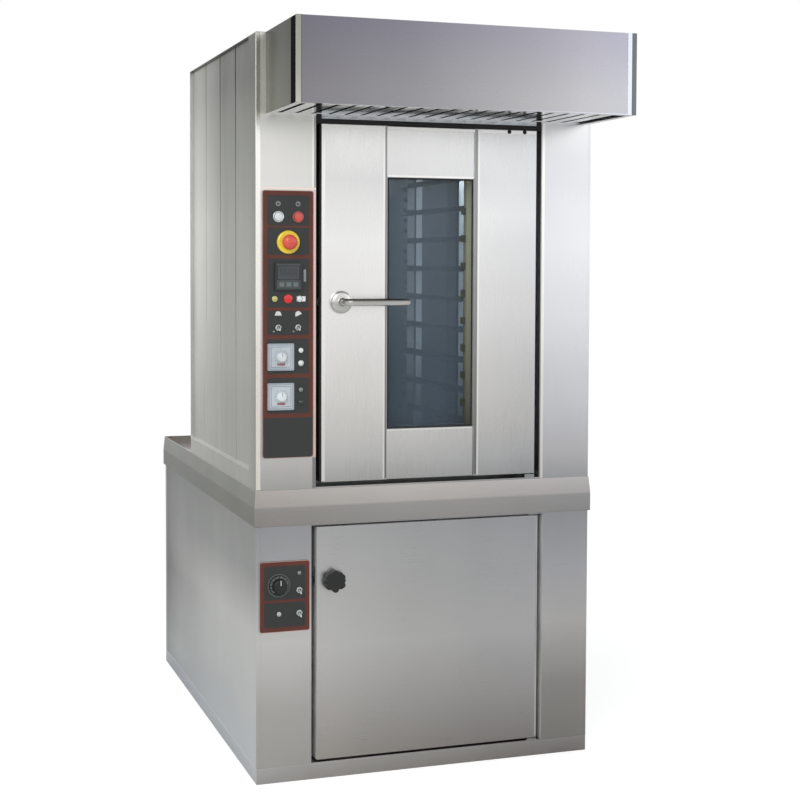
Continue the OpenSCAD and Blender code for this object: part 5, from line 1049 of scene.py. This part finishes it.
# stop button: yellow collar and red mushroom
x, z, R, t = disc("estop_collar", FACE)
lathe("stop_collar", [(0.0102, -0.02), (0.0102, t - 0.0006), (0.0112, t), (R - 0.004, t),
    (R - 0.0012, t - 0.0016), (R, t - 0.0045), (R, 0.0001), (0.0135, 0.0001), (0.0135, -0.02), (0.0102, -0.02)],
    (x, FACE, z), "yellow_plastic", n=64, replaces=("estop_collar",))
_, _, r, out = disc("estop_head", FACE)
lathe("stop_mushroom", [(0.0094, -0.018), (0.0094, t + 0.0062), (r - 0.0035, t + 0.0067),
    (r - 0.0008, t + 0.0088), (r, out - 0.014), (r - 0.0006, out - 0.0095), (r - 0.0035, out - 0.0048),
    (r - 0.0085, out - 0.0016), (r - 0.014, out - 0.0003), (0, out)], (x, FACE, z), "red_plastic",
    body="stop_head", n=64, replaces=("estop_head",))
ARROW_R = 0.0105
for k in range(3):
    angles = [radians(90 + 120 * k) + 0.16 * q for q in range(6)]
    tube(f"stop_arrow_{k}", [(x + ARROW_R * cos(a), FACE - out + 0.0005, z + ARROW_R * sin(a))
        for a in angles], 0.0006, "arrow_pink", body="stop_head", slot="white_plastic", sides=8)

# controller: bezel, face, display, keys
lo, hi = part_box("digital_controller")
dress("digital_controller", "bezel_black", 1.2, 3)
cx, cz = (lo.x + hi.x) / 2, (lo.z + hi.z) / 2
for tag, z0, z1 in (("low", lo.z + 0.005, cz - 0.0085), ("high", cz + 0.0285, hi.z - 0.003)):
    block("controller_face_" + tag, (lo.x + 0.005, lo.y - 0.0003, z0), (hi.x - 0.005, lo.y + 0.0003, z1),
        "face_blue", width=0.15)
DISPLAY_Z = cz + 0.013
slab("controller_display", cx, cz + 0.01, 0.0295, 0.0175, lo.y + 0.0008, lo.y + 0.0014, "face_blue", width=0.1)
slab("controller_window", cx, DISPLAY_Z, 0.024, 0.009, lo.y + 0.0004, lo.y + 0.0009, "display_dark", width=0.1)
LYING, STANDING = (0.0022, 0.00045), (0.00045, 0.002)   # half sizes of a digit's bars
BARS = [(0, dz, *LYING) for dz in (0.0052, 0, -0.0052)]
BARS += [(dx, dz, *STANDING) for dz in (0.0026, -0.0026) for dx in (-0.0024, 0.0024)]
for k in range(4):
    for j, (dx, dz, half_w, half_h) in enumerate(BARS):
        slab(f"digit_{k}_{j}", cx - 0.0165 + 0.011 * k + dx, DISPLAY_Z + dz, half_w, half_h, lo.y + 0.00025,
            lo.y + 0.00045, "segment_green", width=0)
for k in range(3):
    slab(f"controller_key_{k}", cx - 0.019 + 0.019 * k, cz - 0.0205, 0.0068, 0.006, lo.y - 0.0012,
        lo.y - 0.0002, "key_grey", width=0.4)

# pilot lamps and side lamps
def make_lamp(tag, x, z, r, mat, face, ring_mat):
    """A domed lens in a ring."""
    lens = [(r - 0.002, -0.014), (r - 0.002, 0.0001)] + dome_profile(r, 0.0001, 0.0022, 0.0018, 0.0012)
    lathe("lamp_" + tag, lens, (x, face, z), mat, slot="lamp_lens", n=36, replaces=("indicator_lamps",))
    lathe("lamp_ring_" + tag, ring_profile(r + 0.0002, r + 0.0018, 0.0001, 0.0012, 0.0004), (x, face, z),
        ring_mat, n=36)


for tag, x, z, r, mat in (("yellow", FX - 0.0365, LAMP_Z, 0.0078, "lamp_yellow"),
        ("red", FX, LAMP_Z, 0.0118, "lamp_red"), ("white", FX + 0.0315, LAMP_Z, 0.0066, "lamp_white"),
        ("timer_a", FX + 0.035, TIMER_HIGH + 0.017, 0.0066, "lamp_white"),
        ("timer_b", FX + 0.035, TIMER_HIGH - 0.017, 0.006, "lamp_white"),
        ("timer_c", FX + 0.035, TIMER_LOW + 0.017, 0.006, "lamp_green"),
        ("timer_d", FX + 0.035, TIMER_LOW - 0.017, 0.0066, "lamp_dark")):
    make_lamp(tag, x, z, r, mat, FACE, "chrome" if tag in ("white", "timer_b") else "bezel_black")

slab("lamp_plate", FX + 0.0355, LAMP_Z, 0.012, 0.0068, FACE - 0.0012, FACE - 0.0001, "lamp_white",
    slot="silver_plastic", width=0.8)

# marks of the toggle row: two small generic pictures, and a tick beside each toggle
PICTURE = ((-0.0095, -0.005), (0.0095, -0.005), (0.0078, 0.0005), (0.0046, 0.0058), (-0.004, 0.0062),
    (-0.0078, 0.0008))
for k, x in enumerate(COLUMNS):
    tilt = radians(24 * k)
    along, across = cos(tilt), sin(tilt)
    pts = [(x + a * along - b * across, PICTURE_Z + a * across + b * along) for a, b in PICTURE]
    plate(f"mark_picture_{k}", [pts], FACE - 0.0005, FACE - 0.0001, "icon_white")
    block(f"mark_tick_{k}", (x - 0.0145, FACE - 0.0005, 1.212), (x - 0.0095, FACE - 0.0001, 1.2155),
        "icon_grey", width=0.1)
# a scale beside the controller
block("scale_bar", (cx + 0.0425, FACE - 0.0005, 1.346), (cx + 0.049, FACE - 0.0001, 1.378), "icon_grey",
    width=0.1)


# toggles: a ball, a stem and a tip, with a nut round the bush
def make_toggle(node, x, z, face, tag):
    lo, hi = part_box(node)
    foremost = sorted((v.co.y, v.co.z) for v in NODES[node].data.vertices)[:6]
    base = Vector((x, FRONT, z))
    end = Vector((x, lo.y + 0.003, sum(v[1] for v in foremost) / len(foremost)))
    d = (end - base).normalized()
    w = d.cross(Vector((1, 0, 0)))
    bm = bmesh.new()
    skin(bm, [ring(bm, lambda u, v, s=s: base + d * s + Vector((u, 0, 0)) + w * v, r, 24)
        for r, s in ((0.0, -0.0046), (0.0018, -0.0042), (0.0033, -0.0032), (0.0043, -0.0017), (0.0046, 0.0),
        (0.0043, 0.0017), (0.0033, 0.0032), (0.002, 0.0044), (0.0018, 0.01), (0.0022, 0.016),
        (0.0026, 0.02), (0.0027, 0.0225), (0.0021, 0.0244), (0.001, 0.0254), (0.0, 0.0256))])
    place(finish_mesh(bm, tag + "_stick", "toggle_silver", 40), body_of(node), "chrome_trim", node)
    # hexagon nut and collar
    bm = bmesh.new()
    bush = 0.0052
    for r, d0, d1, m in ((0.0086, 0.0001, 0.0026, 6), (0.0062, 0.0026, 0.0066, 36)):
        skin(bm, [ring(bm, lambda u, v, e=e: (x + u, face - e, z + v), q, m, 0.2)
            for q, e in ((r, d0), (r, d1), (bush, d1), (bush, d0))], True)
    obj = soften(finish_mesh(bm, tag + "_nut", "toggle_silver", 30), 0.3)
    place(obj, "cabinet", "chrome_trim", "switch_bezels")


for tag, x in zip(("toggle_left", "toggle_right"), COLUMNS):
    make_toggle(tag, x, TOGGLE_Z, FACE, tag)
LOW_X = (LOW_LO.x + LOW_HI.x) / 2 + 0.04
make_toggle("prover_switch_upper", LOW_X, 0.52, LOW_FACE, "small_switch_upper")
make_toggle("prover_switch_lower", LOW_X, 0.458, LOW_FACE, "small_switch_lower")


# timers: silver face with a printed frame and scale, and a turning knob with a pointer
def make_timer(tag, x, z, knob_node):
    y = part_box("instrument_cases")[0].y
    case, plated, outer, inner = (rounded(x - s, x + s, z - s, z + s, r)
        for s, r in ((0.036, 0.003), (0.03, 0.002), (0.0275, 0.0015), (0.0262, 0.0012)))
    hole = circle(x, z, 0.0052, 32)
    plate(tag + "_case", [case, hole], y + 0.0006, FACE - 0.00005, "timer_silver", width=0.8,
        replaces=("instrument_cases",))
    plate(tag + "_plate", [plated, hole], y, y + 0.0006, "timer_light")
    plate(tag + "_frame", [outer, inner], y - 0.0002, y, "timer_line")
    for k in range(11):
        tick(f"{tag}_tick_{k}", x, z, radians(240 - 30 * k), 0.0165, 0.0195, 0.0005, y - 0.0002, y,
            "timer_line")
    slab(tag + "_mark", x, z - 0.01935, 0.0105, 0.00285, y - 0.0003, y + 0.0001, "mark_pink", width=0.1)
    slab(tag + "_body", x, z, 0.031, 0.031, FRONT + 0.018, FRONT + 0.058, "black_plastic", width=1.5)
    for k in range(4):
        slab(f"{tag}_tab_{k}", x - 0.0225 + 0.014 * k, z, 0.0015, 0.004, FRONT + 0.058, FRONT + 0.066,
            "chrome", width=0.2)
    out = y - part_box(knob_node)[0].y
    r = 0.0128
    lathe(tag + "_knob", [(0.0039, -0.017), (0.0039, 0.0006), (r, 0.0008), (r, out - 0.0045),
        (r - 0.0006, out - 0.003), (r - 0.0022, out - 0.0012), (r - 0.005, out - 0.0003), (0, out)], (x, y, z),
        "white_plastic", body=body_of(knob_node), replaces=(knob_node,))
    slab(tag + "_pointer", x, z + 0.00625, 0.0008, 0.00425, y - out - 0.0001, y - out + 0.0006, "timer_line",
        body=body_of(knob_node), slot="white_plastic", width=0.2)


TX = FX - 0.021
make_timer("timer_upper", TX, TIMER_HIGH, "timer_knob_upper")
make_timer("timer_lower", TX, TIMER_LOW, "timer_knob_lower")

# lower fascia: thermostat dial with its scale, lamps
DX, DZ, R, out = disc("thermostat_dial", LOW_FACE)
slab("thermostat_body", DX, DZ, 0.02, 0.02, FRONT + 0.02, FRONT + 0.044, "black_plastic", width=1.5)
lathe("dial_skirt", [(0.0048, -0.019), (0.0048, 0.0006), (R - 0.001, 0.0006), (R, 0.0016), (R - 0.0005, 0.0032),
    (R - 0.0035, 0.0042), (0.0188, 0.0052), (0.0186, out - 0.004), (0.0178, out - 0.0018),
    (0.016, out - 0.0006), (0, out - 0.0002)], (DX, LOW_FACE, DZ), "black_plastic", body="dial", n=64,
    replaces=("thermostat_dial",))
RIBS, RIB_R, DIAL_STEPS = 24, 0.0187, 27
for k in range(RIBS):
    a = 2 * pi * k / RIBS
    tube(f"dial_rib_{k}", [(DX + RIB_R * cos(a), LOW_FACE - 0.006 - q * (out - 0.01) / 3,
        DZ + RIB_R * sin(a)) for q in range(4)], 0.0009, "black_plastic", body="dial", sides=8)
for k in range(DIAL_STEPS + 1):
    r0, half = (0.0212, 0.00055) if k % 3 else (0.0205, 0.0009)
    tick(f"dial_mark_{k}", DX, DZ, radians(225 - 270 * k / DIAL_STEPS), r0, 0.0255, half, LOW_FACE - 0.0049,
        LOW_FACE - 0.004, "icon_grey", body="dial", slot="black_plastic")
slab("dial_pointer", DX, DZ + 0.01075, 0.0011, 0.00675, LOW_FACE - out, LOW_FACE - out + 0.0012, "icon_white",
    body="dial", slot="black_plastic", width=0.3)
plate("dial_ring", [circle(DX, DZ, 0.0315, 56), circle(DX, DZ, 0.0282, 56)], LOW_FACE - 0.0003,
    LOW_FACE - 0.00005, "dial_grey")
make_lamp("low_a", LOW_X, 0.566, 0.0055, "lamp_off", LOW_FACE, "bezel_black")
make_lamp("low_b", DX, 0.458, 0.0064, "lamp_dim", LOW_FACE, "bezel_black")

# ---------------------------------------------------------------- lever, rose and knob
RX, RZ, R, out = disc("handle_rose", FRONT)
lathe("handle_rose_piece", [(0.0105, 0), (0.0105, out - 0.0015), (0.012, out), (0.02, out - 0.0003),
    (R - 0.006, out - 0.0022), (R - 0.002, out - 0.0055), (R, out - 0.0095), (R, 0.0001), (0.0105, 0.0001)],
    (RX, FRONT, RZ), "satin_nickel", body="oven_door", n=64, replaces=("handle_rose",))
lo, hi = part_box("door_lever")
LEVER_R = 0.0095
LY = lo.y + LEVER_R
bend = 0.024
pts = [(RX, hi.y, RZ), (RX, FRONT - 0.01, RZ)]
for k in range(9):
    a = pi / 2 * k / 8
    pts.append((RX + bend * (1 - cos(a)), LY + bend - bend * sin(a), RZ))
pts += [(RX + bend + (hi.x - RX - bend) * k / 6, LY, RZ) for k in range(1, 7)]
# the lever's steel carries a painted reflection: dark on top, light underneath
tube("door_lever_piece", pts, LEVER_R, "lever_steel", body="lever", sides=24, replaces=("door_lever",))
lathe("door_lever_collar", ring_profile(0.0097, 0.0128, out + 0.0004, out + 0.0044, 0.0012), (RX, FRONT, RZ),
    "satin_nickel", body="lever", n=40)

KX, KZ, KNOB_R = -0.271, 0.54, 0.0299


def make_knob():
    """The lobed turning knob of the lower door."""
    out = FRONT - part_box("prover_knob")[0].y
    n, lobes = 96, 8
    bm = bmesh.new()
    rings = []
    for mid, wave, d in ((0.012, 0, 0.0004), (0.0245, 0.0016, 0.0004), (0.0268, 0.0026, 0.0016),
            (0.0276, 0.0029, 0.005), (0.0276, 0.0029, out - 0.008), (0.0266, 0.0027, out - 0.004),
            (0.0238, 0.002, out - 0.0012), (0.019, 0.0008, out - 0.0002), (0.013, 0, out - 0.0004),
            (0.011, 0, out - 0.0016)):
        angles = [2 * pi * k / n for k in range(n)]
        radii = [min(mid + wave * cos(lobes * a), KNOB_R) for a in angles]
        rings.append([bm.verts.new((KX + r * cos(a), FRONT - d, KZ + r * sin(a)))
            for a, r in zip(angles, radii)])
    rings.append([bm.verts.new((KX, FRONT - out + 0.0018, KZ))])
    skin(bm, rings)
    place(finish_mesh(bm, "prover_knob_grip", "black_plastic", 34), "turning_knob", "black_plastic")


make_knob()

# ---------------------------------------------------------------- inside: rack
RACK_LO, RACK_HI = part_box("rack_frame")
RACK_Y = (RACK_LO.y + RACK_HI.y) / 2
UPRIGHT_Y = 0.191        # from the middle to the uprights
RUNNER_LOW, RUNNER_PITCH = RACK_LO.z + 0.076, 0.089
# the runners are painted dark as shade; the uprights, and the tray stops below, get steel painted darker
# downwards as shade and a painted glow
paint(dress("rack_frame", "runner_steel", 0.4, 1),
    "rack_steel", lambda c, n: abs(abs(c.y - RACK_Y) - UPRIGHT_Y) < 0.0105 and abs(c.x) > 0.18)
# tray stops: flat strips beside the rear uprights, between the runners
for k in range(8):
    z = RUNNER_LOW + RUNNER_PITCH * k
    for tag, x in (("left", RACK_LO.x + 0.0195), ("right", RACK_HI.x - 0.0435)):
        block(f"tray_stop_{tag}_{k}", (x, RACK_Y + 0.199, z + 0.018), (x + 0.024, RACK_Y + 0.2005, z + 0.087),
            "stop_steel", body="rack", width=0.3, segments=1)
